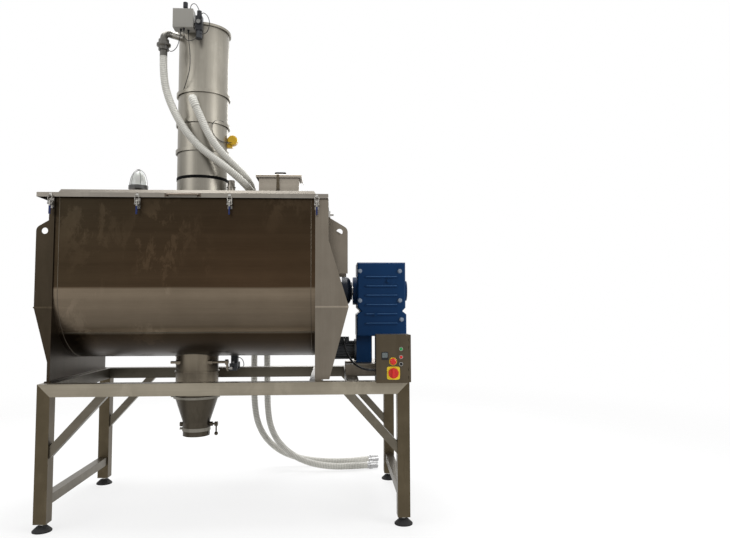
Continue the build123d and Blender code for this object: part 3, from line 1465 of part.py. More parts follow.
# Discharge flap: plate rolled to the trough radius, arms, pivot rod and slotted crank
rod_right = crank_x + crank_width / 2 + 10
crank_at = neck_at[0] + crank_x
crank_reach = crank_radius + 26
crank_angle = radians(40)
crank_way = (sin(crank_angle), -cos(crank_angle))
with BuildPart() as discharge_flap:
    with BuildSketch(Plane.XY.offset(flap_pivot_height)) as flap_disc_section:
        with Locations(neck_at):
            Circle(outlet_opening - flap_gap)
    extrude(flap_disc_section.sketch, amount=axis_height - flap_pivot_height)
    bar(*trough_line, trough_radius, Mode.SUBTRACT)
    lower_cut = trough_radius + flap_plate
    flap_floor = Cylinder(lower_cut, trough_length, rotation=(0, 90, 0), mode=Mode.PRIVATE)
    add(flap_floor.moved(Location((trough_mid, axis_y, axis_height))), mode=Mode.INTERSECT)
    rod_ends = ((neck_at[0] - flap_rod_left, pivot_at_y, flap_pivot_height),
                (neck_at[0] + rod_right, pivot_at_y, flap_pivot_height))
    bar(*rod_ends, flap_rod_radius)
    plate_under_z = axis_height - lower_cut + 3
    for side in (-1, 1):
        arm_x = neck_at[0] + side * flap_arm_half
        arm_profile = [
            (pivot_at_y - flap_rod_radius, flap_pivot_height - 6),
            (pivot_at_y + flap_rod_radius, flap_pivot_height - 6),
            (axis_y + 70, plate_under_z - 8),
            (axis_y + 70, plate_under_z + 1),
            (axis_y - 70, plate_under_z + 5),
            (pivot_at_y - flap_rod_radius, flap_pivot_height + 6),
        ]
        plate_yz(arm_profile, arm_x - flap_arm_width / 2, arm_x + flap_arm_width / 2)
    crank_span = (crank_at - crank_width / 2, crank_at + crank_width / 2)
    crank_hub = (
        (crank_span[0] - 6, pivot_at_y, flap_pivot_height),
        (crank_span[1] + 6, pivot_at_y, flap_pivot_height),
    )
    bar(*crank_hub, crank_hub_radius)
    crank_plane = Plane(
        origin=(crank_span[0], pivot_at_y, flap_pivot_height),
        x_dir=(0, crank_way[0], crank_way[1]),
        z_dir=(1, 0, 0),
    )
    with BuildSketch(crank_plane) as crank_section:
        with Locations((crank_reach / 2, 0)):
            SlotOverall(crank_reach + 36, 36)
        slot_start = crank_radius - crank_pin_radius - 8
        slot_end = crank_radius / cos(crank_angle) + crank_pin_radius + 4
        with Locations(((slot_start + slot_end) / 2, 0)):
            slot_width = 2 * (crank_pin_radius + crank_slot_gap)
            SlotOverall(slot_end - slot_start + 2 * crank_slot_gap, slot_width, mode=Mode.SUBTRACT)
    extrude(crank_section.sketch, amount=crank_width)
    bar(*rod_ends, flap_rod_radius)
save(discharge_flap.part, "discharge_flap")

# Air cylinder that drives the crank, hung from a bracket under the trough
stroke_half = crank_radius * tan(crank_angle)
rod_line_z = flap_pivot_height - crank_radius
pin_y = pivot_at_y + stroke_half
cylinder_front = pin_y + cylinder_gap
cylinder_rear = cylinder_front + cylinder_length
cylinder_x = crank_at + crank_width / 2 + 24
with BuildPart() as flap_cylinder:
    cylinder_line = ((cylinder_x, cylinder_front, rod_line_z), (cylinder_x, cylinder_rear, rod_line_z))
    bar(*cylinder_line, cylinder_radius * 0.86)
    for y in (cylinder_front, cylinder_rear - 26):
        cap = (cylinder_radius, cylinder_radius)
        cap_zs = (rod_line_z - cap[1], rod_line_z + cap[1])
        block((cylinder_x - cap[0], cylinder_x + cap[0]), (y, y + 26), cap_zs)
    hanger_ys = (cylinder_front + 60, cylinder_front + 130)
    hanger_xs = (cylinder_x - 30, cylinder_x + 30)
    block(hanger_xs, hanger_ys, (rod_line_z, axis_height - trough_radius + 60))
    bar(*trough_line, shell_radius, Mode.SUBTRACT)
    inside = (cylinder_x, cylinder_rear - 26, rod_line_z)
    rod_bore = piston_rod_radius + running_clearance
    bar((cylinder_x, cylinder_front, rod_line_z), inside, rod_bore, Mode.SUBTRACT)
save(flap_cylinder.part, "flap_cylinder")

with BuildPart() as flap_rod:
    rod_end = (cylinder_x, cylinder_front + 2 * stroke_half + 30, rod_line_z)
    bar((cylinder_x, pin_y, rod_line_z), rod_end, piston_rod_radius)
    fork = (cylinder_x - 11, cylinder_x + 11)
    block(fork, (pin_y - 13, pin_y + 22), (rod_line_z - 12, rod_line_z + 12))
    pin_start = crank_span[0] - 6
    bar((pin_start, pin_y, rod_line_z), (cylinder_x, pin_y, rod_line_z), crank_pin_radius)
save(flap_rod.part, "flap_rod")

# Discharge cone and outlet, with valve bosses
outlet_inner = outlet_radius - neck_wall
cone_top = neck_bottom
with BuildPart() as discharge_cone:
    cone = [
        (neck_inner, cone_top),
        (clamp_ring_radius - 8, cone_top),
        (clamp_ring_radius - 8, cone_top - 5),
        (neck_radius, cone_top - 5),
        (neck_radius, cone_top - 14),
        (outlet_radius, cone_bottom),
        (outlet_radius, band_center - band_height / 2 - 5),
        (outlet_radius - spigot_step, band_center - band_height / 2 - 5),
        (outlet_radius - spigot_step, outlet_bottom),
        (outlet_inner, outlet_bottom),
        (outlet_inner, cone_bottom),
        (neck_inner, cone_top - 14),
    ]
    turned(neck_at, cone)
    for side in (-1, 1):
        boss_start = (neck_at[0] + side * (outlet_radius - 2), axis_y, valve_pivot_height)
        boss_end = (neck_at[0] + side * (outlet_radius + 26), axis_y, valve_pivot_height)
        bar(boss_start, boss_end, valve_boss_radius)
    bar((*neck_at, outlet_bottom), (*neck_at, cone_bottom), outlet_inner, Mode.SUBTRACT)
    spindle_line = ((neck_at[0] - outlet_radius - 26, axis_y, valve_pivot_height),
                    (neck_at[0] + outlet_radius + 26, axis_y, valve_pivot_height))
    bar(*spindle_line, valve_spindle_radius + running_clearance, Mode.SUBTRACT)
save(discharge_cone.part, "discharge_cone")

# Outlet valve: disc, spindle and hand lever with a ball
with BuildPart() as outlet_valve:
    lever_x = neck_at[0] + lever_reach
    spindle_start = (neck_at[0] - outlet_radius - 22, axis_y, valve_pivot_height)
    bar(spindle_start, (lever_x, axis_y, valve_pivot_height), valve_spindle_radius)
    disc_zs = (valve_pivot_height - valve_disc / 2, valve_pivot_height + valve_disc / 2)
    disc_line = ((*neck_at, disc_zs[0]), (*neck_at, disc_zs[1]))
    bar(*disc_line, outlet_inner - valve_disc_gap)
    hub_line = ((lever_x - 28, axis_y, valve_pivot_height), (lever_x, axis_y, valve_pivot_height))
    bar(*hub_line, valve_boss_radius)
    lever_foot = (lever_x - 14, axis_y, valve_pivot_height - lever_drop)
    bar((lever_x - 14, axis_y, valve_pivot_height), lever_foot, 7)
    with Locations((lever_x - 14, axis_y, valve_pivot_height - lever_drop)):
        Sphere(ball_radius)
save(outlet_valve.part, "outlet_valve")

# Control box on the front rail: enclosure open to the front, hinge pins on the right
box_x0 = left + box_left
box_x1 = box_x0 + box_width
box_y1 = front + box_back
box_y0 = box_y1 - box_depth
box_z0 = box_bottom
box_z1 = box_bottom + box_height
door_y1 = box_y0 - door_gap
door_y0 = door_y1 - door_depth
door_x0 = box_x0 - door_margin
door_x1 = door_x0 + door_width
door_hinge_x = door_x1 + door_knuckle_radius + 1
door_hinge_y = box_y0 - door_knuckle_radius - 1
door_zs = (box_z0 - door_margin + 1, box_z1 + door_margin)
door_knuckle_zs = (box_z0 + 70, box_z1 - 70)
with BuildPart() as control_box:
    block((box_x0, box_x1), (box_y0, box_y1), (box_z0, box_z1))
    fillet(control_box.edges().filter_by(Axis.Y), 5)
    inner_xs = (box_x0 + box_wall, box_x1 - box_wall)
    inner_zs = (box_z0 + box_wall, box_z1 - box_wall)
    block(inner_xs, (box_y0 + box_wall, box_y1 - box_wall), inner_zs, Mode.SUBTRACT)
    block(
        (box_x0 + 12, door_x1 - 16),
        (box_y0, box_y0 + box_wall),
        (box_z0 + 14, box_z1 - 14),
        Mode.SUBTRACT,
    )
    block((box_x0 + 20, box_x1 - 20), (front, box_y1 - 5), (frame_height, box_z0))
    for z in door_knuckle_zs:
        for side in (-1, 1):
            low = z + side * (door_knuckle_length / 2 + door_gap)
            high = low + side * door_knuckle_length / 2
            zs = sorted((low, high))
            bar((door_hinge_x, door_hinge_y, zs[0]), (door_hinge_x, door_hinge_y, zs[1]), door_knuckle_radius)
            tab_xs = (door_hinge_x - 2, door_hinge_x + door_knuckle_radius)
            block(tab_xs, (door_hinge_y, box_y0), zs)
        pin_half = door_knuckle_length + door_gap
        pin = ((door_hinge_x, door_hinge_y, z - pin_half), (door_hinge_x, door_hinge_y, z + pin_half))
        bar(*pin, door_pin_radius)
save(control_box.part, "control_box")

door_start = (left + button_x, box_z0 + start_rise)
door_stop = (left + button_x, box_z0 + stop_rise)
door_selector = (left + button_x, box_z0 + selector_rise)
door_estop = (left + estop_x, box_z0 + estop_rise)
door_switch = (left + switch_x, box_z0 + switch_rise)
plunger_radius = button_radius * 0.7
with BuildPart() as control_door:
    block((door_x0, door_x1), (door_y0, door_y1), door_zs)
    fillet(control_door.edges().filter_by(Axis.Y), 5)
    block(
        (door_x0 + door_wall, door_x1 - door_wall),
        (door_y0 + door_wall, door_y1),
        (door_zs[0] + door_wall, door_zs[1] - door_wall),
        Mode.SUBTRACT,
    )
    for x, z in (door_start, door_stop, door_selector, door_estop, door_switch):
        bar((x, door_y0, z), (x, door_y0 + door_wall, z), plunger_radius + button_gap, Mode.SUBTRACT)
    for z in door_knuckle_zs:
        zs = (z - door_knuckle_length / 2, z + door_knuckle_length / 2)
        block((door_x1 - 1, door_hinge_x), (door_hinge_y - door_knuckle_radius, door_hinge_y - 2), zs)
        bar((door_hinge_x, door_hinge_y, zs[0]), (door_hinge_x, door_hinge_y, zs[1]), door_knuckle_radius)
        pin_bore = door_pin_radius + running_clearance
        bar((door_hinge_x, door_hinge_y, zs[0]), (door_hinge_x, door_hinge_y, zs[1]), pin_bore, Mode.SUBTRACT)
save(control_door.part, "control_door")

# Bezels, display and switch plate fixed to the door
with BuildPart() as door_fittings:
    for x, z in (door_start, door_stop, door_selector):
        ring_bar((x, door_y0 - bezel_proud, z), (x, door_y0, z), bezel_radius, button_radius + button_gap)
    x, z = door_estop
    ring_bar((x, door_y0 - bezel_proud, z), (x, door_y0, z), estop_collar, plunger_radius + button_gap)
    x, z = door_switch
    plate_half = switch_plate / 2
    switch_ys = (door_y0 - switch_plate_thickness, door_y0)
    block((x - plate_half, x + plate_half), switch_ys, (z - plate_half, z + plate_half))
    bar((x, switch_ys[0], z), (x, switch_ys[1], z), plunger_radius + button_gap, Mode.SUBTRACT)
    x, z = left + display_x, box_z0 + display_rise
    half_x, half_z = display_size[0] / 2, display_size[1] / 2
    block((x - half_x, x + half_x), (door_y0 - display_proud, door_y0), (z - half_z, z + half_z))
save(door_fittings.part, "door_fittings")

inside_y = door_y0 + door_wall + 8
cap_back = door_y0 - button_travel - button_gap


def push_button(name, at):
    with BuildPart() as button:
        bar((at[0], door_y0 - button_proud, at[1]), (at[0], cap_back, at[1]), button_radius)
        bar((at[0], door_y0 - button_proud, at[1]), (at[0], inside_y, at[1]), plunger_radius)
    save(button.part, name)


push_button("start_button", door_start)
push_button("stop_button", door_stop)

with BuildPart() as selector_switch:
    x, z = door_selector
    bar((x, door_y0 - button_proud, z), (x, cap_back, z), button_radius)
    bar((x, door_y0 - button_proud, z), (x, inside_y, z), plunger_radius)
    block((x - 3.5, x + 3.5), (door_y0 - button_proud - 10, door_y0 - button_proud), (z - 10, z + 10))
save(selector_switch.part, "selector_switch")

with BuildPart() as estop_button:
    x, z = door_estop
    head_back = door_y0 - bezel_proud - 8
    head_plane = Plane(origin=(x, 0, z), x_dir=(1, 0, 0), z_dir=(0, 0, 1))
    head = [
        (0, head_back - 20),
        (estop_radius * 0.6, head_back - 20),
        (estop_radius * 0.9, head_back - 15),
        (estop_radius, head_back - 8),
        (estop_radius, head_back),
        (plunger_radius, head_back),
        (plunger_radius, inside_y),
        (0, inside_y),
    ]
    with BuildSketch(head_plane) as head_section:
        Polygon(*head, align=None)
    revolve(head_section.sketch, axis=Axis((x, 0, z), (0, 1, 0)))
save(estop_button.part, "estop_button")

with BuildPart() as main_switch:
    x, z = door_switch
    knob_back = door_y0 - switch_plate_thickness - button_gap
    bar((x, knob_back - 14, z), (x, knob_back, z), switch_radius)
    grip_zs = (z - switch_radius * 0.95, z + switch_radius * 0.95)
    block((x - 11, x + 11), (knob_back - switch_proud, knob_back - 14), grip_zs)
    bar((x, knob_back, z), (x, inside_y, z), plunger_radius)
save(main_switch.part, "main_switch")

# Lid switch on the drive end
with BuildPart() as lid_switch:
    switch_x0 = drive_face + strip_reach
    switch_xs = (switch_x0 - 40, switch_x0 - 40 + lid_switch_size[0])
    switch_ys = (strip_face + gusset, strip_face + gusset + lid_switch_size[1])
    switch_low = rim_height - lid_switch_drop
    switch_high = switch_low + lid_switch_size[2]
    block(switch_xs, switch_ys, (switch_low, switch_high))
    mid_y = (switch_ys[0] + switch_ys[1]) / 2
    mid_z = (switch_low + switch_high) / 2
    bar((switch_xs[1], mid_y, mid_z), (switch_xs[1] + lid_switch_knob, mid_y, mid_z), 12)
    bar((switch_x0 - 12, mid_y, switch_high), (switch_x0 - 12, mid_y, switch_high + lid_switch_plug), 8)
save(lid_switch.part, "lid_switch")


def flexible(points, radius):
    radii = corner_radii(points)
    print("bend radii over diameter", [round(r / (2 * radius), 1) for r in radii])
    with BuildLine() as route:
        FilletPolyline(*points, radius=radii)
    return route


# Motor cable from the terminal box to the side of the control box
cable_start = (box_x, axis_y - terminal_box[1] / 2, box_z + terminal_box[2] / 2)
cable_end = (box_x0, axis_y - 650, box_z0 + 85)
cable_points = [
    cable_start,
    (box_x, axis_y - 130, cable_start[2]),
    (box_x + 7, axis_y - 221, cable_start[2] - 66),
    (box_x + 40, axis_y - 330, cable_end[2] + 74),
    (box_x + 85, axis_y - 440, cable_end[2] + 26),
    (box_x + 140, axis_y - 560, cable_end[2] + 4),
    (cable_end[0] - 52, cable_end[1], cable_end[2]),
    cable_end,
]
with BuildPart() as motor_cable:
    cable_route = flexible(cable_points, cable_radius)
    with BuildSketch(Plane(origin=cable_route.line @ 0, z_dir=cable_route.line % 0)) as cable_section:
        Circle(cable_radius)
    sweep(cable_section.sketch, path=cable_route.line)
save(motor_cable.part, "motor_cable")

# Hoses: route points from the stand's front left corner
vacuum_start = (port_foot.X - left, port_foot.Y - front, port_bottom)
vacuum_route = [
    vacuum_start,
    (vacuum_start[0], vacuum_start[1], 3815),
    (836, 536, 3590),
    (955, 524, 3360),
    (1105, 514, 3180),
    (1265, 512, 3058),
    (1400, 535, 2955),
    (1490, 600, 2880),
    (1545, 700, 2822),
    (1568, 830, 2785),
    (1578, 985, 2770),
    (1586, 1228, 2768),
    (1592, 1422, 2725),
    (1596, 1588, 2612),
    (1598, 1698, 2445),
    (1600, 1738, 2248),
    (1603, 1746, 1950),
    (1598, 1740, 1450),
    (1604, 1746, 1000),
    (1610, 1738, 660),
    (1645, 1722, 450),
    (1745, 1700, 280),
    (1900, 1678, 155),
    (2085, 1660, 82),
    (2285, 1652, 50),
    (2485, 1668, 44),
    (2675, 1715, 42),
]
feed_start = (inlet_foot.X - left, inlet_foot.Y - front, inlet_foot.Z)
feed_next = inlet_foot + inlet_way * 165
feed_route = [
    feed_start,
    (feed_next.X - left, feed_next.Y - front, feed_next.Z),
    (1208, 506, 3258),
    (1310, 540, 3125),
    (1425, 618, 3018),
    (1505, 735, 2945),
    (1534, 885, 2887),
    (1526, 1052, 2842),
    (1506, 1228, 2826),
    (1488, 1418, 2786),
    (1476, 1586, 2680),
    (1468, 1703, 2518),
    (1463, 1752, 2324),
    (1460, 1766, 2000),
    (1466, 1758, 1500),
    (1458, 1768, 1020),
    (1466, 1776, 690),
    (1500, 1795, 480),
    (1595, 1822, 302),
    (1745, 1850, 170),
    (1930, 1872, 92),
    (2130, 1884, 54),
    (2330, 1880, 44),
    (2525, 1905, 42),
    (2700, 1970, 42),
]
for name, route_points in (("hose_vacuum", vacuum_route), ("hose_feed", feed_route)):
    points = from_corner(route_points)
    with BuildPart() as hose:
        hose_path = flexible(points, hose_radius)
        with BuildSketch(Plane(origin=hose_path.line @ 0, z_dir=hose_path.line % 0)) as hose_section:
            Circle(hose_radius)
            Circle(hose_radius - hose_wall, mode=Mode.SUBTRACT)
        sweep(hose_section.sketch, path=hose_path.line)
    hose_length = sum(edge.length for edge in hose_path.edges())
    hose_area = pi * (hose_radius**2 - (hose_radius - hose_wall) ** 2)
    volume_share = round(hose.part.volume / (hose_area * hose_length), 4)
    print(name, "length", round(hose_length), "volume share", volume_share)
    save(hose.part, name)
    end = hose_path.line @ 1
    way = hose_path.line % 1
    with BuildPart() as hose_end:
        bore = hose_radius - hose_wall
        ring_bar(tuple(end), tuple(end + way * hose_end_length), hose_radius, bore)
        ring_bar(tuple(end + way * 30), tuple(end + way * 62), hose_cuff_radius, bore)
    save(hose_end.part, name + "_end")
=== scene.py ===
import math

import bpy
import numpy as np
from mathutils import Matrix, Vector


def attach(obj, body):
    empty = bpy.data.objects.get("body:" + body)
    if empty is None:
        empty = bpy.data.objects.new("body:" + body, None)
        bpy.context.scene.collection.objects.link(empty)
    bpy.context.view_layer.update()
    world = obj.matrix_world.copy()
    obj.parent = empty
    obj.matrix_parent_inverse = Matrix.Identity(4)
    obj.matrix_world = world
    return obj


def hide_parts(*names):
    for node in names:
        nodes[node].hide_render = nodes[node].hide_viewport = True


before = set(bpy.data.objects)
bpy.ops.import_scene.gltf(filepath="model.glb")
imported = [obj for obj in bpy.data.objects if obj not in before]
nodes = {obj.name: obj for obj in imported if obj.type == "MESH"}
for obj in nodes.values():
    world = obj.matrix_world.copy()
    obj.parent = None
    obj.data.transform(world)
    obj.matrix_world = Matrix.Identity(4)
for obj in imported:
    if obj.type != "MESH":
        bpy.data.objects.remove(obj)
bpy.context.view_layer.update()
scene = bpy.context.scene
scene.view_settings.view_transform = "Standard"
print("frame loaded,", len(nodes), "nodes")

# camera fitted to the stand's corners: place in metres, angles in degrees, lens and sensor in millimetres
cameraFit = {
    "place": (0.941, -5.554, 1.734), "yaw": 3.0, "pitch": 3.61, "roll": -0.14,
    "lens": 29.97, "sensor": 36.0, "farClip": 60.0,
}


def placeCamera(fit):
    data = bpy.data.cameras.new("photoCamera")
    data.sensor_fit = "HORIZONTAL"
    data.sensor_width = fit["sensor"]
    data.lens = fit["lens"]
    data.clip_end = fit["farClip"]
    cam = bpy.data.objects.new("photoCamera", data)
    yaw = Matrix.Rotation(math.radians(-fit["yaw"]), 4, "Z")
    pitch = Matrix.Rotation(math.radians(90 + fit["pitch"]), 4, "X")
    roll = Matrix.Rotation(math.radians(fit["roll"]), 4, "Z")
    cam.matrix_world = Matrix.Translation(fit["place"]) @ (yaw @ pitch) @ roll
    scene.collection.objects.link(cam)
    scene.camera = cam


placeCamera(cameraFit)
print("camera placed")

# trough in metres: axis, outer radius, a radius inside the sheet, ends and the top of the walls
trough = {
    "axisY": 0.071, "axisZ": 1.886, "radius": 0.585, "midSheet": 0.5825,
    "left": -1.322, "right": 0.791, "top": 2.640,
}


# node groups: effects that several finishes share
def newGroup(name, inputs, outputs):
    tree = bpy.data.node_groups.new(name, "ShaderNodeTree")
    for label, kind, value in inputs:
        socket = tree.interface.new_socket(name=label, in_out="INPUT", socket_type=kind)
        socket.default_value = value
    for label, kind in outputs:
        tree.interface.new_socket(name=label, in_out="OUTPUT", socket_type=kind)
    return tree, tree.nodes.new("NodeGroupInput"), tree.nodes.new("NodeGroupOutput")


# a node with its settings, then constants on its sockets
def node(tree, kind, constants=None, **settings):
    made = tree.nodes.new(kind)
    for key, value in settings.items():
        setattr(made, key, value)
    for key, value in (constants or {}).items():
        made.inputs[key].default_value = value
    return made


def mathNode(tree, operation, a, b, clamp=False):
    made = node(tree, "ShaderNodeMath", operation=operation, use_clamp=clamp)
    for index, value in enumerate((a, b)):
        if isinstance(value, (int, float)):
            made.inputs[index].default_value = value
        else:
            tree.links.new(value, made.inputs[index])
    return made.outputs[0]


def product(tree, first, *others):
    for other in others:
        first = mathNode(tree, "MULTIPLY", first, other)
    return first


# zero up to a threshold, then rising by the slope as far as one
def risesPast(tree, value, threshold, slope):
    return mathNode(tree, "MULTIPLY", mathNode(tree, "SUBTRACT", value, threshold), slope, clamp=True)


def steadyVector(tree, values):
    return node(tree, "ShaderNodeCombineXYZ", dict(enumerate(values))).outputs[0]


def objectNoise(tree, stretchSocket, scale, detail, rough, warp=0.0):
    coords = node(tree, "ShaderNodeTexCoord")
    stretch = node(tree, "ShaderNodeVectorMath", operation="MULTIPLY")
    tree.links.new(coords.outputs["Object"], stretch.inputs[0])
    tree.links.new(stretchSocket, stretch.inputs[1])
    constants = {"Scale": scale, "Detail": detail, "Roughness": rough, "Distortion": warp}
    noise = node(tree, "ShaderNodeTexNoise", constants)
    tree.links.new(stretch.outputs[0], noise.inputs["Vector"])
    return noise.outputs["Fac"]


def rangeOf(tree, value, low, high):
    ramp = node(tree, "ShaderNodeMapRange", {"To Min": low, "To Max": high})
    tree.links.new(value, ramp.inputs["Value"])
    return ramp.outputs[0]


# stretch of the noises: the grain runs along the axis with the small value
alongX = (0.6, 34.0, 34.0)
alongZ = (34.0, 34.0, 0.6)
everyWay = (14.0, 14.0, 14.0)
noStretch = (1.0, 1.0, 1.0)

# grain and streak are drawn out, the cloud is even: scale, detail and roughness of each noise
grainNoise = {"Grain": (9.0, 6.0, 0.7), "Streak": (0.42, 3.0, 0.5), "Cloud": (1.7, 5.0, 0.6)}
grainGroup, grainIn, grainOut = newGroup(
    "sheetGrain",
    [("Stretch", "NodeSocketVector", (1.0, 40.0, 40.0))],
    [("Grain", "NodeSocketFloat"), ("Cloud", "NodeSocketFloat"), ("Streak", "NodeSocketFloat")],
)
for output, settings in grainNoise.items():
    drawnOut = steadyVector(grainGroup, noStretch) if output == "Cloud" else grainIn.outputs["Stretch"]
    grainGroup.links.new(objectNoise(grainGroup, drawnOut, *settings), grainOut.inputs[output])

# dried film: streaked patches where a noise is high, broken by a finer one, gathered where a wide one is high
filmNoise = {"patch": (6.5, 9.0, 0.70, 0.3), "fine": (36.0, 5.0, 0.65), "wide": (1.5, 2.0, 0.5)}
filmShape = {"stretch": (1.0, 1.0, 0.55), "patch": (0.505, 16.0), "broken": (0.2, 1.3),
             "gathered": (0.46, 9.0)}
filmGroup, filmIn, filmOut = newGroup(
    "driedFilm", [("Amount", "NodeSocketFloat", 0.5)], [("Mask", "NodeSocketFloat")]
)
filmStretch = steadyVector(filmGroup, filmShape["stretch"])
patchNoise = objectNoise(filmGroup, filmStretch, *filmNoise["patch"])
fineNoise = objectNoise(filmGroup, filmStretch, *filmNoise["fine"])
wideNoise = objectNoise(filmGroup, filmStretch, *filmNoise["wide"])
patch = risesPast(filmGroup, patchNoise, *filmShape["patch"])
broken = rangeOf(filmGroup, fineNoise, *filmShape["broken"])
gathered = risesPast(filmGroup, wideNoise, *filmShape["gathered"])
filmMask = product(filmGroup, patch, gathered, broken, filmIn.outputs["Amount"])
filmGroup.links.new(filmMask, filmOut.inputs["Mask"])

# settled dust: faces that look up, broken by noise
dustShape = {"noise": (11.0, 7.0, 0.7), "upward": (0.55, 2.2)}
dustGroup, dustIn, dustOut = newGroup(
    "settledDust", [("Amount", "NodeSocketFloat", 0.3)], [("Mask", "NodeSocketFloat")]
)
geometry = node(dustGroup, "ShaderNodeNewGeometry")
facing = node(dustGroup, "ShaderNodeSeparateXYZ")
dustGroup.links.new(geometry.outputs["Normal"], facing.inputs[0])
upward = risesPast(dustGroup, facing.outputs["Z"], *dustShape["upward"])
speck = objectNoise(dustGroup, steadyVector(dustGroup, noStretch), *dustShape["noise"])
dustMask = product(dustGroup, upward, speck, dustIn.outputs["Amount"])
dustGroup.links.new(dustMask, dustOut.inputs["Mask"])


# a colour mix has its factor on socket 0, its colours on 6 and 7 and its result on 2
def mixColour(tree, mask, first, second, blend="MIX"):
    mix = node(tree, "ShaderNodeMix", data_type="RGBA", blend_type=blend)
    for socket, value in ((mix.inputs[0], mask), (mix.inputs[6], first), (mix.inputs[7], second)):
        if isinstance(value, tuple):
            socket.default_value = (*value, 1.0)
        else:
            tree.links.new(value, socket)
    return mix.outputs[2]


def scaledColour(colour, gain, lift=0.0):
    return tuple(min(1.0, c * gain + lift) for c in colour)


def groupNode(tree, group, **values):
    return node(tree, "ShaderNodeGroup", values, node_tree=group)


def startMaterial(name, constants):
    mat = bpy.data.materials.new(name)
    mat.use_nodes = True
    tree = mat.node_tree
    shader = tree.nodes["Principled BSDF"]
    for key, value in constants.items():
        shader.inputs[key].default_value = value
    return mat, tree, shader


def bumpInto(tree, shader, height, strength, distance):
    bump = node(tree, "ShaderNodeBump", {"Strength": strength, "Distance": distance})
    tree.links.new(height, bump.inputs["Height"])
    tree.links.new(bump.outputs[0], shader.inputs["Normal"])


def objectAxis(tree, axis):
    coords = node(tree, "ShaderNodeTexCoord")
    split = node(tree, "ShaderNodeSeparateXYZ")
    tree.links.new(coords.outputs["Object"], split.inputs[0])
    return split.outputs[axis]


# shading along an axis: a ramp of factors, grey or tinted, over the places given in metres
def placeShade(tree, axis, stops, waver):
    low, high = stops[0][0], stops[-1][0]
    share = node(tree, "ShaderNodeMapRange", {"From Min": low, "From Max": high})
    along = objectAxis(tree, axis)
    if waver:
        cloudy = groupNode(tree, grainGroup, Stretch=everyWay).outputs["Cloud"]
        along = mathNode(tree, "ADD", along, rangeOf(tree, cloudy, -waver, waver))
    tree.links.new(along, share.inputs["Value"])
    ramp = node(tree, "ShaderNodeValToRGB")
    points = ramp.color_ramp.elements
    while len(points) < len(stops):
        points.new(0.5)
    for point, (place, factor) in zip(points, stops):
        point.position = (place - low) / (high - low)
        point.color = (*factor, 1.0) if isinstance(factor, tuple) else (factor, factor, factor, 1.0)
    tree.links.new(share.outputs[0], ramp.inputs[0])
    return ramp.outputs[0]


# mask of the trough's outer skin: far from the axis, measured level above it and all round below it
def outerSkin(tree, skin):
    level = mathNode(tree, "SUBTRACT", objectAxis(tree, "Y"), skin["axisY"])
    height = mathNode(tree, "SUBTRACT", objectAxis(tree, "Z"), skin["axisZ"])
    below = mathNode(tree, "MINIMUM", height, 0.0)
    reach = mathNode(tree, "ADD", product(tree, level, level), product(tree, below, below))
    return mathNode(tree, "GREATER_THAN", reach, skin["midSheet"] ** 2)


# sheet metal: two tones mixed by cloud, grain and streak, dried film, shading along axes, dust on top faces
sheetMix = {"Cloud": 0.40, "Grain": 0.26, "Streak": 0.34}
sheetLook = {"toneRange": (-0.55, 1.55), "filmGain": 1.45, "filmLift": 0.01, "filmRough": 0.12,
             "dust": (0.36, 0.34, 0.31), "bumpStrength": 0.08, "bumpDepth": 0.0006}


def sheetMetal(name, dark, light, rough, stretch, film=0.1, dust=0.15, shades=(), waver=0.0, skin=None):
    mat, tree, shader = startMaterial(name, {"Metallic": 1.0})
    grain = groupNode(tree, grainGroup, Stretch=stretch)
    marks = groupNode(tree, filmGroup, Amount=film)
    settled = groupNode(tree, dustGroup, Amount=dust)
    blend = 0.0
    for output, share in sheetMix.items():
        blend = mathNode(tree, "ADD", blend, product(tree, grain.outputs[output], share))
    tone = mixColour(tree, rangeOf(tree, blend, *sheetLook["toneRange"]), dark, light)
    paler = scaledColour(light, sheetLook["filmGain"], sheetLook["filmLift"])
    tone = mixColour(tree, marks.outputs["Mask"], tone, paler)
    for axis, stops, above in shades:
        over = mathNode(tree, "GREATER_THAN", objectAxis(tree, "Z"), above)
        if skin:
            over = product(tree, over, outerSkin(tree, skin))
        tone = mixColour(tree, over, tone, placeShade(tree, axis, stops, waver), "MULTIPLY")
    tone = mixColour(tree, settled.outputs["Mask"], tone, sheetLook["dust"])
    tree.links.new(tone, shader.inputs["Base Color"])
    duller = product(tree, marks.outputs["Mask"], sheetLook["filmRough"])
    worn = mathNode(tree, "ADD", rangeOf(tree, grain.outputs["Grain"], *rough), duller)
    tree.links.new(worn, shader.inputs["Roughness"])
    bumpInto(tree, shader, grain.outputs["Grain"], sheetLook["bumpStrength"], sheetLook["bumpDepth"])
    return mat


# paint or plastic: slight tone change, painted shade in hollows where a dip attribute is high, peel bump,
# dust on top faces
finePeel = (60.0, 60.0, 60.0)
mediumPeel = (40.0, 40.0, 40.0)
coarsePeel = (30.0, 30.0, 30.0)
paintLook = {"darker": 0.78, "lighter": 1.2, "lift": 0.004, "valleyShade": 0.58, "dust": (0.42, 0.41, 0.39),
             "bumpDepth": 0.0008}


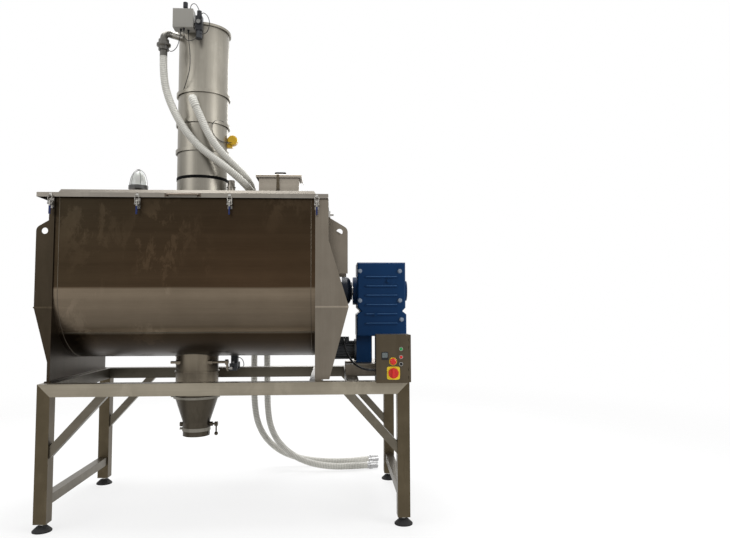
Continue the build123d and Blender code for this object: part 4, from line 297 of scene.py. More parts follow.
def paintCoat(name, colour, rough, dust=0.1, peel=0.06, peelScale=finePeel, gloss=0.25, valleyShade=""):
    mat, tree, shader = startMaterial(name, {"Metallic": 0.0, "Specular IOR Level": gloss})
    grain = groupNode(tree, grainGroup, Stretch=peelScale)
    settled = groupNode(tree, dustGroup, Amount=dust)
    darker = scaledColour(colour, paintLook["darker"])
    lighter = scaledColour(colour, paintLook["lighter"], paintLook["lift"])
    tone = mixColour(tree, grain.outputs["Cloud"], darker, lighter)
    # painted shade: darker where the dip attribute is high, in the hollows between a hose's ribs
    if valleyShade:
        dip = node(tree, "ShaderNodeAttribute", attribute_name=valleyShade)
        tone = mixColour(tree, dip.outputs["Fac"], tone, scaledColour(colour, paintLook["valleyShade"]))
    tone = mixColour(tree, settled.outputs["Mask"], tone, paintLook["dust"])
    tree.links.new(tone, shader.inputs["Base Color"])
    tree.links.new(rangeOf(tree, grain.outputs["Grain"], *rough), shader.inputs["Roughness"])
    bumpInto(tree, shader, grain.outputs["Grain"], peel, paintLook["bumpDepth"])
    return mat


# shades: axis, factors over places along it, and the height above which they hold
# painted reflection and shade: the rolled belly painted bright, with a painted highlight just above its seam
# and painted shade under the seam; the wall above painted dark as a reflection of dark surroundings, cooler
# toward the idle end
panelShade = ("Z", [(1.28, (0.15, 0.125, 0.095)), (1.512, (0.19, 0.16, 0.125)), (1.526, 0.60), (1.536, 0.98),
                    (1.552, 0.94), (1.572, 0.64), (1.65, 0.66), (1.80, 0.88), (1.886, 1.0),
                    (1.907, (0.33, 0.265, 0.21)), (2.15, (0.285, 0.23, 0.18)),
                    (2.64, (0.215, 0.19, 0.158))], 0.0)
panelSide = ("X", [(-1.33, (0.84, 0.93, 0.97)), (-0.60, (0.92, 0.95, 0.97)), (0.20, (1.0, 0.98, 0.98)),
                   (0.80, 1.0)], 1.905)
# painted shade on the end plates, darker at the idle end than at the drive end, and a painted highlight along
# the shelf edges
plateShade = ("X", [(-1.40, (0.225, 0.20, 0.165)), (-1.30, (0.24, 0.215, 0.18)), (0.60, 0.80), (0.84, 1.0)],
              0.0)
shelfShade = ("Z", [(1.10, 0.58), (1.7305, 0.58), (1.7320, 1.0), (1.7462, 1.0), (1.7478, 0.60),
                    (2.70, 0.62)], 0.0)
# painted shade on the frame: the front rail is left brightest, the braces and low stretchers painted darker,
# the rear rails darker still
railShade = ("Y", [(-0.64, 1.0), (-0.535, 1.0), (-0.515, 0.33), (0.77, 0.33)], 1.034)
railFoot = ("Z", [(0.10, 0.47), (1.028, 0.47), (1.040, 1.0), (1.14, 1.0)], 0.0)
# the cone below the neck, the vacuum port beyond the drum and the lid handle are darker
spoutShade = ("Z", [(0.60, 0.36), (0.95, 0.36), (0.99, 1.0), (1.30, 1.0)], 0.0)
portShade = ("X", [(-0.70, 0.40), (-0.538, 0.40), (-0.522, 1.0), (-0.25, 1.0)], 0.0)
handleShade = ("X", [(-1.50, 1.0), (-0.452, 1.0), (-0.444, (0.34, 0.28, 0.23)), (-0.138, (0.34, 0.28, 0.23)),
                     (-0.130, 1.0), (0.90, 1.0)], 0.0)
# the hatch handle is near black, and the receiver brightens upward as far as its cover
hatchShade = ("Z", [(2.70, 1.0), (2.9405, 1.0), (2.9420, 0.06), (3.00, 0.06)], 0.0)
receiverShade = ("Z", [(2.70, 0.66), (3.12, 0.74), (3.25, 0.86), (3.70, 0.98), (4.10, 1.0), (4.36, 0.86)],
                 0.0)

# steels take dark tone, light tone, roughness and grain; paints take colour and roughness
finish = {
    "panel": sheetMetal("panelSteel", (0.105, 0.081, 0.056), (0.212, 0.168, 0.121), (0.26, 0.40), alongX,
                        film=0.62, shades=[panelShade, panelSide], waver=0.008, skin=trough),
    "plate": sheetMetal("plateSteel", (0.190, 0.160, 0.124), (0.400, 0.350, 0.284), (0.28, 0.44), alongZ,
                        film=0.12, shades=[plateShade, shelfShade]),
    # the legs take a darker tone of the frame's steel as painted shade
    "tube": sheetMetal("shadedLegSteel", (0.055, 0.043, 0.026), (0.118, 0.095, 0.061), (0.30, 0.46), everyWay,
                       film=0.15),
    "rail": sheetMetal("railSteel", (0.174, 0.151, 0.114), (0.352, 0.316, 0.248), (0.30, 0.46), alongX,
                       film=0.15, shades=[railShade, railFoot]),
    "lid": sheetMetal("lidSteel", (0.150, 0.136, 0.115), (0.305, 0.280, 0.245), (0.32, 0.44), alongX),
    "hatch": sheetMetal("hatchSteel", (0.205, 0.182, 0.150), (0.375, 0.335, 0.280), (0.32, 0.44), alongX,
                        shades=[hatchShade]),
    "receiver": sheetMetal("receiverSteel", (0.185, 0.172, 0.143), (0.410, 0.383, 0.328), (0.30, 0.48),
                           alongZ, shades=[receiverShade]),
    "port": sheetMetal("portSteel", (0.190, 0.182, 0.164), (0.400, 0.384, 0.350), (0.28, 0.46), everyWay,
                       shades=[portShade]),
    "spout": sheetMetal("spoutSteel", (0.108, 0.091, 0.066), (0.226, 0.194, 0.148), (0.24, 0.38), alongZ,
                        film=0.2, shades=[spoutShade]),
    "bright": sheetMetal("brightSteel", (0.30, 0.29, 0.27), (0.52, 0.51, 0.49), (0.14, 0.26), everyWay,
                         film=0.05, dust=0.03),
    "fitting": sheetMetal("fittingSteel", (0.30, 0.29, 0.27), (0.52, 0.51, 0.49), (0.18, 0.30), everyWay,
                          film=0.05, dust=0.03, shades=[handleShade]),
    "box": sheetMetal("cabinetSteel", (0.056, 0.044, 0.029), (0.112, 0.091, 0.063), (0.30, 0.44), alongZ,
                      film=0.12),
    "latch": sheetMetal("latchSteel", (0.17, 0.16, 0.145), (0.36, 0.345, 0.315), (0.20, 0.34), everyWay,
                        film=0.05, dust=0.03),
    "seam": sheetMetal("seamSteel", (0.070, 0.058, 0.044), (0.150, 0.128, 0.100), (0.34, 0.50), everyWay,
                       film=0.0, dust=0.0),
    "iron": paintCoat("bearingIron", (0.030, 0.031, 0.034), (0.40, 0.62), peel=0.25, peelScale=coarsePeel),
    "blue": paintCoat("driveBlue", (0.0022, 0.0250, 0.082), (0.30, 0.46), dust=0.05, peel=0.10, gloss=0.09),
    "darkBlue": paintCoat("couplingBlue", (0.007, 0.012, 0.023), (0.30, 0.44), dust=0.05, gloss=0.2),
    "boltBlue": paintCoat("boltBlue", (0.17, 0.21, 0.27), (0.30, 0.42), dust=0.03, gloss=0.4),
    "motor": paintCoat("motorGrey", (0.040, 0.043, 0.048), (0.38, 0.58), dust=0.2, peel=0.2),
    "rubber": paintCoat("footRubber", (0.010, 0.010, 0.010), (0.62, 0.82), dust=0.12, peel=0.3,
                        peelScale=mediumPeel),
    "seal": paintCoat("sealRubber", (0.004, 0.004, 0.004), (0.60, 0.80), dust=0.0, peel=0.3, gloss=0.04),
    # a lighter blue painted on the rib edge beads as a highlight
    "ribHighlightBlue": paintCoat("ribEdgeBlue", (0.030, 0.095, 0.220), (0.30, 0.42), dust=0.03, gloss=0.3),
    "yellow": paintCoat("vibratorYellow", (0.56, 0.34, 0.012), (0.30, 0.46), dust=0.05, gloss=0.35),
    "plateYellow": paintCoat("switchYellow", (0.70, 0.52, 0.02), (0.32, 0.42), dust=0.02),
    "red": paintCoat("switchRed", (0.52, 0.016, 0.010), (0.26, 0.36), dust=0.02, gloss=0.35),
    "green": paintCoat("startGreen", (0.012, 0.26, 0.055), (0.28, 0.38), dust=0.02, gloss=0.35),
    "black": paintCoat("controlBlack", (0.010, 0.010, 0.011), (0.36, 0.50), dust=0.04),
    "dial": paintCoat("gaugeGrey", (0.17, 0.17, 0.16), (0.30, 0.42), dust=0.02, peel=0.0, gloss=0.4),
    "screen": paintCoat("screenGlass", (0.095, 0.115, 0.115), (0.10, 0.18), dust=0.02, peel=0.0, gloss=0.5),
    "hose": paintCoat("hoseWhite", (0.64, 0.628, 0.575), (0.32, 0.48), dust=0.04, peel=0.05, gloss=0.3,
                      valleyShade="ribDip"),
    "alloy": sheetMetal("couplingAlloy", (0.30, 0.30, 0.30), (0.48, 0.48, 0.48), (0.28, 0.42), everyWay),
}

# two coats parted where one axis passes a place, or above a height; a height over all keeps that out
overAll = 9.0
partedLook = {"darker": 0.8, "lighter": 1.2, "gloss": 0.25, "bumpStrength": 0.06, "bumpDepth": 0.0006}


def partedCoat(name, axis, place, below, above, rough, metallic=(0.0, 0.0), top=overAll):
    constants = {"Metallic": metallic[0], "Specular IOR Level": partedLook["gloss"]}
    mat, tree, shader = startMaterial(name, constants)
    past = mathNode(tree, "GREATER_THAN", objectAxis(tree, axis), place)
    over = mathNode(tree, "MAXIMUM", past, mathNode(tree, "GREATER_THAN", objectAxis(tree, "Z"), top))
    grain = groupNode(tree, grainGroup, Stretch=everyWay)
    tones = []
    for colour in (below, above):
        darker = scaledColour(colour, partedLook["darker"])
        lighter = scaledColour(colour, partedLook["lighter"])
        tones.append(mixColour(tree, grain.outputs["Cloud"], darker, lighter))
    tree.links.new(mixColour(tree, over, *tones), shader.inputs["Base Color"])
    if metallic[0] != metallic[1]:
        tree.links.new(rangeOf(tree, over, *metallic), shader.inputs["Metallic"])
    tree.links.new(rangeOf(tree, grain.outputs["Grain"], *rough), shader.inputs["Roughness"])
    bumpInto(tree, shader, grain.outputs["Grain"], partedLook["bumpStrength"], partedLook["bumpDepth"])
    return mat


# latch levers have a blue grip, the lamp a black foot under its guard, the air box a black unit at its side
finish["lever"] = partedCoat("leverSteel", "Z", place=2.562, below=(0.008, 0.018, 0.085),
                             above=(0.30, 0.29, 0.265), rough=(0.2, 0.38), metallic=(0.0, 1.0))
finish["lamp"] = partedCoat("lampGuard", "Z", place=2.8385, below=(0.075, 0.075, 0.072),
                            above=(0.20, 0.20, 0.195), rough=(0.3, 0.45), metallic=(0.0, 1.0))
finish["airBox"] = partedCoat("airBoxGrey", "X", place=-0.312, below=(0.23, 0.222, 0.200),
                              above=(0.018, 0.019, 0.021), rough=(0.34, 0.50), top=4.4095)

# lamp glass: frosted, with a plain transmission value
glassLook = {"Metallic": 0.0, "Roughness": 0.32, "IOR": 1.45, "Transmission Weight": 0.75,
             "Base Color": (0.86, 0.87, 0.85, 1.0)}
glass, glassTree, glassShader = startMaterial("lampGlass", glassLook)
glassGrain = groupNode(glassTree, grainGroup, Stretch=everyWay)
bumpInto(glassTree, glassShader, glassGrain.outputs["Cloud"], strength=0.05, distance=0.001)
finish["glass"] = glass

# bulb glass: pale, its tone changing slightly
bulb, bulbTree, bulbShader = startMaterial("bulbGlass", {"Roughness": 0.25})
bulbGrain = groupNode(bulbTree, grainGroup, Stretch=everyWay)
bulbTone = mixColour(bulbTree, bulbGrain.outputs["Cloud"], (0.62, 0.62, 0.58), (0.82, 0.82, 0.78))
bulbTree.links.new(bulbTone, bulbShader.inputs["Base Color"])
finish["bulb"] = bulb

latchNumbers = range(1, 5)
nodeFinish = {
    "panel": ["trough_shell"],
    "plate": ["end_plate_idle", "end_plate_drive", "end_brackets", "drive_bed"],
    "tube": ["frame_legs"],
    "rail": ["frame_rails"],
    "lid": ["lid_front", "lid_rear"],
    "hatch": ["hatch_neck", "hatch_cover"],
    "receiver": ["receiver_shells", "receiver_flap", "clamp_rings"],
    "port": ["receiver_ports"],
    "fitting": ["lid_fittings"],
    "spout": ["discharge_neck", "discharge_cone", "discharge_flap", "outlet_valve", "agitator_arms",
              "outer_ribbons", "inner_ribbons"],
    "bright": ["foot_stems", "lid_switch", "agitator_shaft", "flap_rod"],
    "latch": ["latch_bases", *(f"latch_bail_{k}" for k in latchNumbers)],
    "box": ["control_box", "control_door"],
    "iron": ["bearing_housings"],
    "blue": ["gear_housing"],
    "darkBlue": ["drive_coupling"],
    "lever": [f"latch_lever_{k}" for k in latchNumbers],
    "motor": ["motor_body", "flap_cylinder"],
    "airBox": ["air_box"],
    "rubber": ["foot_pads"],
    "seal": ["rubber_seals"],
    "yellow": ["vibrator"],
    "plateYellow": ["door_fittings"],
    "red": ["main_switch", "estop_button", "stop_button"],
    "green": ["start_button"],
    "black": ["selector_switch", "motor_cable"],
    "lamp": ["lamp_base"],
    "hose": ["hose_vacuum", "hose_feed"],
    "alloy": ["hose_vacuum_end", "hose_feed_end"],
    "glass": ["lamp_lens"],
}
for key, names in nodeFinish.items():
    for name in names:
        nodes[name].data.materials.clear()
        nodes[name].data.materials.append(finish[key])
print("finishes set on", sum(len(v) for v in nodeFinish.values()), "nodes")


# quads of an n by m grid of points that closes round in m; a loop closes in n too, else both ends are capped
def stackFaces(n, m, loop=False):
    row = np.arange(n if loop else n - 1)[:, None]
    col = np.arange(m)[None, :]
    nextRow = (row + 1) % n
    nextCol = (col + 1) % m
    quads = np.stack([row * m + col, row * m + nextCol, nextRow * m + nextCol, nextRow * m + col], axis=-1)
    faces = [tuple(int(i) for i in quad) for quad in quads.reshape(-1, 4)]
    if not loop:
        faces.append(tuple(range(m - 1, -1, -1)))
        faces.append(tuple(range((n - 1) * m, n * m)))
    return faces


# edges sharper than an angle in degrees stay sharp
plainSharp = 35.0
allSmooth = 180.0


def makePiece(name, points, faces, mat, body, sharp=plainSharp):
    mesh = bpy.data.meshes.new(name)
    mesh.from_pydata(np.asarray(points, float).reshape(-1, 3).tolist(), [], faces)
    mesh.polygons.foreach_set("use_smooth", [True] * len(mesh.polygons))
    mesh.set_sharp_from_angle(angle=math.radians(sharp))
    mesh.materials.append(finish[mat])
    piece = bpy.data.objects.new(name, mesh)
    scene.collection.objects.link(piece)
    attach(piece, body)
    return piece


# one shape of rings set at several places, as a single piece
def repeatedPiece(name, places, shape, faces, mat, body, sharp=plainSharp):
    places = np.asarray(places, float).reshape(-1, 3)
    size = shape.shape[0] * shape.shape[1]
    allFaces = [tuple(i + k * size for i in face) for k in range(len(places)) for face in faces]
    return makePiece(name, places[:, None, None, :] + shape[None], allFaces, mat, body, sharp)


def fullTurn(sides):
    return np.linspace(0.0, 2 * np.pi, sides, endpoint=False)


# line drawn by a route's points: a smooth curve that starts and ends on the end points
routeCurve = {"steps": 24, "order": 3}


def routeLine(name, route):
    curve = bpy.data.curves.new(name, "CURVE")
    curve.dimensions = "3D"
    curve.resolution_u = routeCurve["steps"]
    spline = curve.splines.new("NURBS")
    spline.points.add(len(route) - 1)
    spline.points.foreach_set("co", np.hstack([np.array(route), np.ones((len(route), 1))]).ravel())
    spline.order_u = routeCurve["order"]
    spline.use_endpoint_u = True
    holder = bpy.data.objects.new(name, curve)
    scene.collection.objects.link(holder)
    line = bpy.data.meshes.new_from_object(holder.evaluated_get(bpy.context.evaluated_depsgraph_get()))
    points = np.zeros(len(line.vertices) * 3)
    line.vertices.foreach_get("co", points)
    bpy.data.objects.remove(holder)
    bpy.data.curves.remove(curve)
    bpy.data.meshes.remove(line)
    return points.reshape(-1, 3)


def evenSteps(points, step):
    runs = np.concatenate([[0.0], np.cumsum(np.linalg.norm(np.diff(points, axis=0), axis=1))])
    along = np.linspace(0.0, runs[-1], max(2, int(round(runs[-1] / step)) + 1))
    return along, np.stack([np.interp(along, runs, points[:, k]) for k in range(3)], axis=1)


# normal and binormal along a line: the normal is a fixed direction with its part along the line taken away
def crossFrames(points, lean):
    tangent = np.gradient(points, axis=0)
    tangent /= np.linalg.norm(tangent, axis=1, keepdims=True)
    lean = np.array(lean) / np.linalg.norm(lean)
    normal = lean - (tangent @ lean)[:, None] * tangent
    normal /= np.linalg.norm(normal, axis=1, keepdims=True)
    return normal, np.cross(tangent, normal)


# round tube: each ring is normal times cosine plus binormal times sine, scaled by that ring's radius
def tubePoints(points, radii, sides, lean):
    normal, binormal = crossFrames(points, lean)
    turn = fullTurn(sides)[None, :, None]
    ring = normal[:, None, :] * np.cos(turn) + binormal[:, None, :] * np.sin(turn)
    return points[:, None, :] + ring * np.asarray(radii)[:, None, None]


# hoses in metres: the radius falls between ribs as half a cosine of the length along the route
hoseShape = {"radius": 0.035, "ribDepth": 0.0045, "ribPitch": 0.017, "ringsPerRib": 4, "sides": 16,
             "lean": (1.0, 1.0, 1.0)}
# the feed hose's cuff, pushed over the inlet elbow up to the receiver's wall
cuffShape = {"radius": 0.0385, "ribDepth": 0.0035, "sides": 24, "lean": (1.0, 0.2, 0.3)}
cuffRoute = [(-0.3330, -0.048, 3.6320), (-0.3330, -0.128, 3.6330), (-0.2930, -0.12237, 3.54035)]
standCorner = (-1.373, -0.626)


# route points given in millimetres from the stand's front left corner on the floor
def fromStand(points):
    return [(x / 1000 + standCorner[0], y / 1000 + standCorner[1], z / 1000) for x, y, z in points]


vacuumRoute = [(-0.5994, -0.0790, 4.010), (-0.5994, -0.0790, 3.815)] + fromStand([
    (836, 536, 3590), (955, 524, 3360), (1105, 514, 3180), (1265, 512, 3058), (1400, 535, 2955),
    (1490, 600, 2880), (1545, 700, 2822), (1568, 830, 2785), (1578, 985, 2770), (1586, 1228, 2768),
    (1592, 1422, 2725), (1596, 1588, 2612), (1598, 1698, 2445), (1600, 1738, 2248), (1603, 1746, 1950),
    (1598, 1740, 1450), (1604, 1746, 1000), (1610, 1738, 660), (1645, 1722, 450), (1745, 1700, 280),
    (1900, 1678, 155), (2085, 1660, 82), (2285, 1652, 50), (2485, 1668, 44), (2675, 1715, 42),
])
feedRoute = [(-0.2930, -0.12237, 3.54035), (-0.2270, -0.12237, 3.38913)] + fromStand([
    (1208, 506, 3258), (1310, 540, 3125), (1425, 618, 3018), (1505, 735, 2945), (1534, 885, 2887),
    (1526, 1052, 2842), (1506, 1228, 2826), (1488, 1418, 2786), (1476, 1586, 2680), (1468, 1703, 2518),
    (1463, 1752, 2324), (1460, 1766, 2000), (1466, 1758, 1500), (1458, 1768, 1020), (1466, 1776, 690),
    (1500, 1795, 480), (1595, 1822, 302), (1745, 1850, 170), (1930, 1872, 92), (2130, 1884, 54),
    (2330, 1880, 44), (2525, 1905, 42), (2700, 1970, 42),
])


# ribbed tube on a line, the depth of each ring's dip kept on its points for the finish to paint shade in the
# rib hollows
def ribbedTube(name, line, shape):
    sides = shape["sides"]
    along, points = evenSteps(line, hoseShape["ribPitch"] / hoseShape["ringsPerRib"])
    dip = 0.5 - 0.5 * np.cos(2 * np.pi * along / hoseShape["ribPitch"])
    rings = tubePoints(points, shape["radius"] - shape["ribDepth"] * dip, sides, shape["lean"])
    piece = makePiece(name, rings, stackFaces(len(points), sides), "hose", "stand", allSmooth)
    layer = piece.data.attributes.new("ribDip", "FLOAT", "POINT")
    layer.data.foreach_set("value", np.repeat(dip, sides).astype(np.float32))
    return piece, round(float(along[-1]), 3)


def ribbedHose(name, route, nodeName):
    line = routeLine(name + "Line", route)
    hose, length = ribbedTube(name, line, hoseShape)
    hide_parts(nodeName)
    print(name, "length", length)


ribbedHose("vacuumHose", vacuumRoute, "hose_vacuum")
ribbedHose("feedHose", feedRoute, "hose_feed")
hoseCuff, cuffLength = ribbedTube("hoseCuff", routeLine("cuffLine", cuffRoute), cuffShape)
print("hoses laid, cuff length", cuffLength)

# black air lines at the air box, the vibrator and the discharge cylinder: round tubes on their own curves
airLineShape = {"radius": 0.0033, "sides": 10, "step": 0.006, "lean": (0.3, 1.0, 0.2)}
airRoutes = {
    "airLineRing": [
        (-0.369, -0.130, 4.240), (-0.366, -0.128, 4.150), (-0.352, -0.118, 4.030), (-0.356, -0.100, 3.900),
        (-0.385, -0.080, 3.800), (-0.4265, -0.030, 3.728),
    ],
    "airLineValve": [
        (-0.430, -0.150, 4.240), (-0.438, -0.152, 4.150), (-0.462, -0.156, 4.060), (-0.510, -0.158, 4.020),
        (-0.548, -0.154, 4.050), (-0.575, -0.134, 4.108),
    ],
    "airLineLoop": [
        (-0.262, -0.168, 4.330), (-0.238, -0.205, 4.372), (-0.190, -0.215, 4.352), (-0.160, -0.205, 4.285),
        (-0.180, -0.190, 4.205), (-0.225, -0.175, 4.180), (-0.262, -0.160, 4.200),
    ],
    "airLineTop": [
        (-0.350, -0.150, 4.409), (-0.348, -0.155, 4.452), (-0.320, -0.160, 4.478), (-0.286, -0.150, 4.462),
        (-0.270, -0.140, 4.410),
    ],
    "airLineBox": [
        (-0.400, -0.170, 4.240), (-0.398, -0.178, 4.165), (-0.372, -0.186, 4.118), (-0.325, -0.184, 4.120),
        (-0.285, -0.168, 4.150), (-0.272, -0.158, 4.190),
    ],
    "airLineVibrator": [
        (-0.075, 0.046, 3.452), (-0.120, -0.005, 3.462), (-0.160, -0.040, 3.420), (-0.166, -0.046, 3.345),
        (-0.132, -0.020, 3.282), (-0.072, 0.050, 3.258), (-0.018, 0.142, 3.285),
    ],
    "airLineFlap": [
        (0.028, 0.122, 1.222), (0.030, 0.112, 1.262), (0.062, 0.098, 1.288), (0.108, 0.094, 1.272),
        (0.128, 0.108, 1.222), (0.112, 0.140, 1.180), (0.060, 0.172, 1.186),
    ],
}


# plain tube of one radius along the line that a route's points draw
def plainTube(name, route, shape, mat, body):
    along, points = evenSteps(routeLine(name + "Route", route), shape["step"])
    rings = tubePoints(points, np.full(len(points), shape["radius"]), shape["sides"], shape["lean"])
    piece = makePiece(name, rings, stackFaces(len(points), shape["sides"]), mat, body, allSmooth)
    return piece, along, points


for lineName, lineRoute in airRoutes.items():
    airLine, lineAlong, linePoints = plainTube(lineName, lineRoute, airLineShape, "black", "stand")
print("air lines laid")


# points round an axis: two directions across it, times cosine and sine of the turn
def roundAxis(axis, sides):
    axis = np.array(axis, float) / np.linalg.norm(axis)
    helper = np.array([0.0, 0.0, 1.0]) if abs(axis[2]) < 0.9 else np.array([1.0, 0.0, 0.0])
    first = np.cross(helper, axis)
    first /= np.linalg.norm(first)
    second = np.cross(axis, first)
    turn = fullTurn(sides)
    return axis, turn, first * np.cos(turn)[:, None] + second * np.sin(turn)[:, None]


up, down, forward, backward = (0, 0, 1), (0, 0, -1), (0, -1, 0), (0, 1, 0)

# hex heads: radius = half the width across flats over the cosine of the angle from the nearest flat
# radii and height are shares of that width, the bevel's two heights shares of the head's height
hexShape = {"sides": 24, "washer": 0.66, "height": 0.6, "bevel": 0.51, "crown": 0.44, "bevelFrom": 0.86,
            "bevelTo": 0.94, "washerThick": 0.0025, "sunk": 0.001, "sharp": 25.0}


def hexHeads(name, places, axis, across, mat="bright"):
    shape = hexShape
    along, turn, spread = roundAxis(axis, shape["sides"])
    flats = across / 2 / np.cos((turn % (np.pi / 3)) - np.pi / 6)
    washer = np.full_like(turn, across * shape["washer"])
    bevel = np.minimum(flats, across * shape["bevel"])
    crown = np.full_like(turn, across * shape["crown"])
    seat = shape["washerThick"]
    height = across * shape["height"]
    rings = [(washer, -shape["sunk"]), (washer, seat), (flats, seat),
             (flats, seat + height * shape["bevelFrom"]), (bevel, seat + height * shape["bevelTo"]),
             (crown, seat + height)]
    head = np.stack([spread * radius[:, None] + along * lift for radius, lift in rings])
    faces = stackFaces(len(rings), shape["sides"])
    repeatedPiece(name, places, head, faces, mat, "stand", shape["sharp"])


# turned shape: a profile of radius and height carried round the axis
def turnedShape(name, places, axis, profile, body, mat, sides=40, loop=False):
    along, _, spread = roundAxis(axis, sides)
    profile = np.asarray(profile, float)
    shape = spread[None] * profile[:, 0, None, None] + along * profile[:, 1, None, None]
    return repeatedPiece(name, places, shape, stackFaces(len(shape), sides, loop), mat, body)


# rounded oblong: cosine and sine of the turn raised to a small power, their signs kept
def oblong(sides, power):
    turn = fullTurn(sides)
    return [np.sign(wave) * np.abs(wave) ** power for wave in (np.cos(turn), np.sin(turn))]


# weld bead: a round profile carried along a path, its radius rippling with the length
beadShape = {"step": 0.006, "ripple": 0.12, "ripplePitch": 0.011, "sides": 8}


def weldBead(name, path, radius, mat, lean):
    along, points = evenSteps(np.asarray(path, float), beadShape["step"])
    ripple = radius * (1.0 + beadShape["ripple"] * np.sin(2 * np.pi * along / beadShape["ripplePitch"]))
    rings = tubePoints(points, ripple, beadShape["sides"], lean)
    return makePiece(name, rings, stackFaces(len(points), beadShape["sides"]), mat, "stand", allSmooth)


# flat strap: a rounded oblong carried along a path, wide across the lean direction
strapShape = {"step": 0.004, "sides": 24, "power": 0.35, "lean": (1.0, 0.0, 0.0)}


def flatStrap(name, path, halfWidth, halfThick, body, mat):
    _, points = evenSteps(np.asarray(path, float), strapShape["step"])
    normal, binormal = crossFrames(points, strapShape["lean"])
    across, deep = oblong(strapShape["sides"], strapShape["power"])
    rings = normal[:, None, :] * (across * halfWidth)[None, :, None]
    rings = rings + binormal[:, None, :] * (deep * halfThick)[None, :, None]
    faces = stackFaces(len(points), strapShape["sides"])
    return makePiece(name, points[:, None, :] + rings, faces, mat, body)


# clasp at the front of the hatch: a strap on the cover, its catch on the neck, paths as depth and height
clasp = {"x": 0.441, "strapWidth": 0.012, "strapThick": 0.0018, "catchWidth": 0.016, "catchThick": 0.0025}
strapSide = [(-0.1022, 2.932), (-0.1026, 2.905), (-0.0990, 2.872), (-0.0930, 2.842), (-0.0905, 2.806)]
catchSide = [(-0.0775, 2.845), (-0.0830, 2.832), (-0.0835, 2.800), (-0.0775, 2.786)]
strapPath = [(clasp["x"], y, z) for y, z in strapSide]
catchPath = [(clasp["x"], y, z) for y, z in catchSide]
strap = flatStrap("hatchClasp", strapPath, clasp["strapWidth"], clasp["strapThick"], "hatch_lid", "box")
catch = flatStrap("hatchCatch", catchPath, clasp["catchWidth"], clasp["catchThick"], "stand", "seam")

# black grip over the hatch handle: a round tube along its bent rod
grip = {"y": 0.074, "xs": (0.405, 0.495), "zs": (2.937, 2.9845), "bend": 0.012, "radius": 0.0085,
        "sides": 14, "step": 0.003, "lean": (0.0, 1.0, 0.0)}
gripLow, gripTop = grip["zs"]
gripBend = gripTop - grip["bend"]
gripLeft, gripRight = grip["xs"]
gripSide = [(gripLeft, gripLow), (gripLeft, gripBend), (gripLeft, gripTop),
            (gripLeft + grip["bend"], gripTop), (gripRight - grip["bend"], gripTop),
            (gripRight, gripTop), (gripRight, gripBend), (gripRight, gripLow)]
gripRoute = [(x, grip["y"], z) for x, z in gripSide]
hatchGrip, _, _ = plainTube("hatchGrip", gripRoute, grip, "black", "hatch_lid")

# turned profiles start and end at a small radius, which the caps close
tip = 0.0006

# pipe on the vent stub
ventPipe = {"at": (-0.001, 0.064, 0.0),
            "profile": [(tip, 2.840), (0.0335, 2.840), (0.0335, 2.902), (0.0315, 2.906), (tip, 2.906)]}
turnedShape("ventPipe", [ventPipe["at"]], up, ventPipe["profile"], "stand", "lid")

# the air unit's gauge, the guard round its bowl, and push-in fittings where air lines start
unitAt = [(-0.270, -0.140, 0.0)]
gaugeAt = [(-0.270, -0.170, 4.300)]
gaugeCase = [(tip, -0.002), (0.0200, -0.002), (0.0220, 0.002), (0.0220, 0.014), (0.0200, 0.016),
             (0.0190, 0.0145), (tip, 0.0145)]
gaugeFace = [(tip, 0.0143), (0.0186, 0.0143), (0.0186, 0.0150), (tip, 0.0150)]
bowlGuard = [(0.0255, 4.160), (0.0278, 4.160), (0.0278, 4.222), (0.0255, 4.222)]
pushIn = [(tip, -0.002), (0.0095, -0.002), (0.0095, 0.011), (0.0078, 0.013), (0.0078, 0.024), (tip, 0.024)]
pushInSides = 16
boxPorts = [airRoutes[key][0] for key in ("airLineRing", "airLineValve", "airLineBox")]
flapPort = [airRoutes["airLineFlap"][0]]
blackFittings = [
    turnedShape("gaugeCase", gaugeAt, forward, gaugeCase, "stand", "black"),
    turnedShape("gaugeFace", gaugeAt, forward, gaugeFace, "stand", "dial"),
    turnedShape("bowlGuard", unitAt, up, bowlGuard, "stand", "motor", loop=True),
    turnedShape("airFittings", boxPorts, down, pushIn, "stand", "black", pushInSides),
]
flapFitting = turnedShape("flapFitting", flapPort, up, pushIn, "stand", "alloy", pushInSides)
print("small fittings made")

# painted highlights on the gear housing's ribs: thin beads along their edges in a lighter blue, where the
# ribs catch the light
gearRibs = {"first": 1.5942, "pitch": 0.083, "count": 6, "xs": (1.236, 1.512), "radius": 0.0024,
            "faces": {"Front": -0.1402, "Rear": 0.2822}, "lean": (0, 1, 1)}
for ribIndex in range(gearRibs["count"]):
    ribZ = gearRibs["first"] + gearRibs["pitch"] * ribIndex
    for sideName, ribY in gearRibs["faces"].items():
        ribPath = [(x, ribY, ribZ) for x in gearRibs["xs"]]
        ribName = f"ribEdge{sideName}{ribIndex + 1}"
        weldBead(ribName, ribPath, gearRibs["radius"], "ribHighlightBlue", gearRibs["lean"])

# control door: its front face, and the places of its fittings across and up
doorFace = -0.7464
door = {"start": (1.476, 1.405), "stop": (1.476, 1.342), "selector": (1.476, 1.287), "estop": (1.412, 1.308),
        "switch": (1.415, 1.217), "display": (1.348, 1.351), "glass": (1.348, 1.357)}
plateShape = {"sides": 64, "power": 2 / 7, "edge": 0.0008}


# plate on the door: rounded oblong rings from the back to the front edge
def doorPlate(name, centre, half, proud, mat, back=0.0):
    outX, outZ = oblong(plateShape["sides"], plateShape["power"])
    edge = plateShape["edge"]
    rings = []
    for inset, lift in ((0.0, back), (0.0, proud - edge), (edge, proud)):
        xs = centre[0] + outX * (half[0] - inset)
        zs = centre[1] + outZ * (half[1] - inset)
        rings.append(np.stack([xs, np.full_like(xs, doorFace - lift), zs], axis=1))
    faces = stackFaces(len(rings), plateShape["sides"])
    return makePiece(name, np.stack(rings), faces, mat, "control_door")


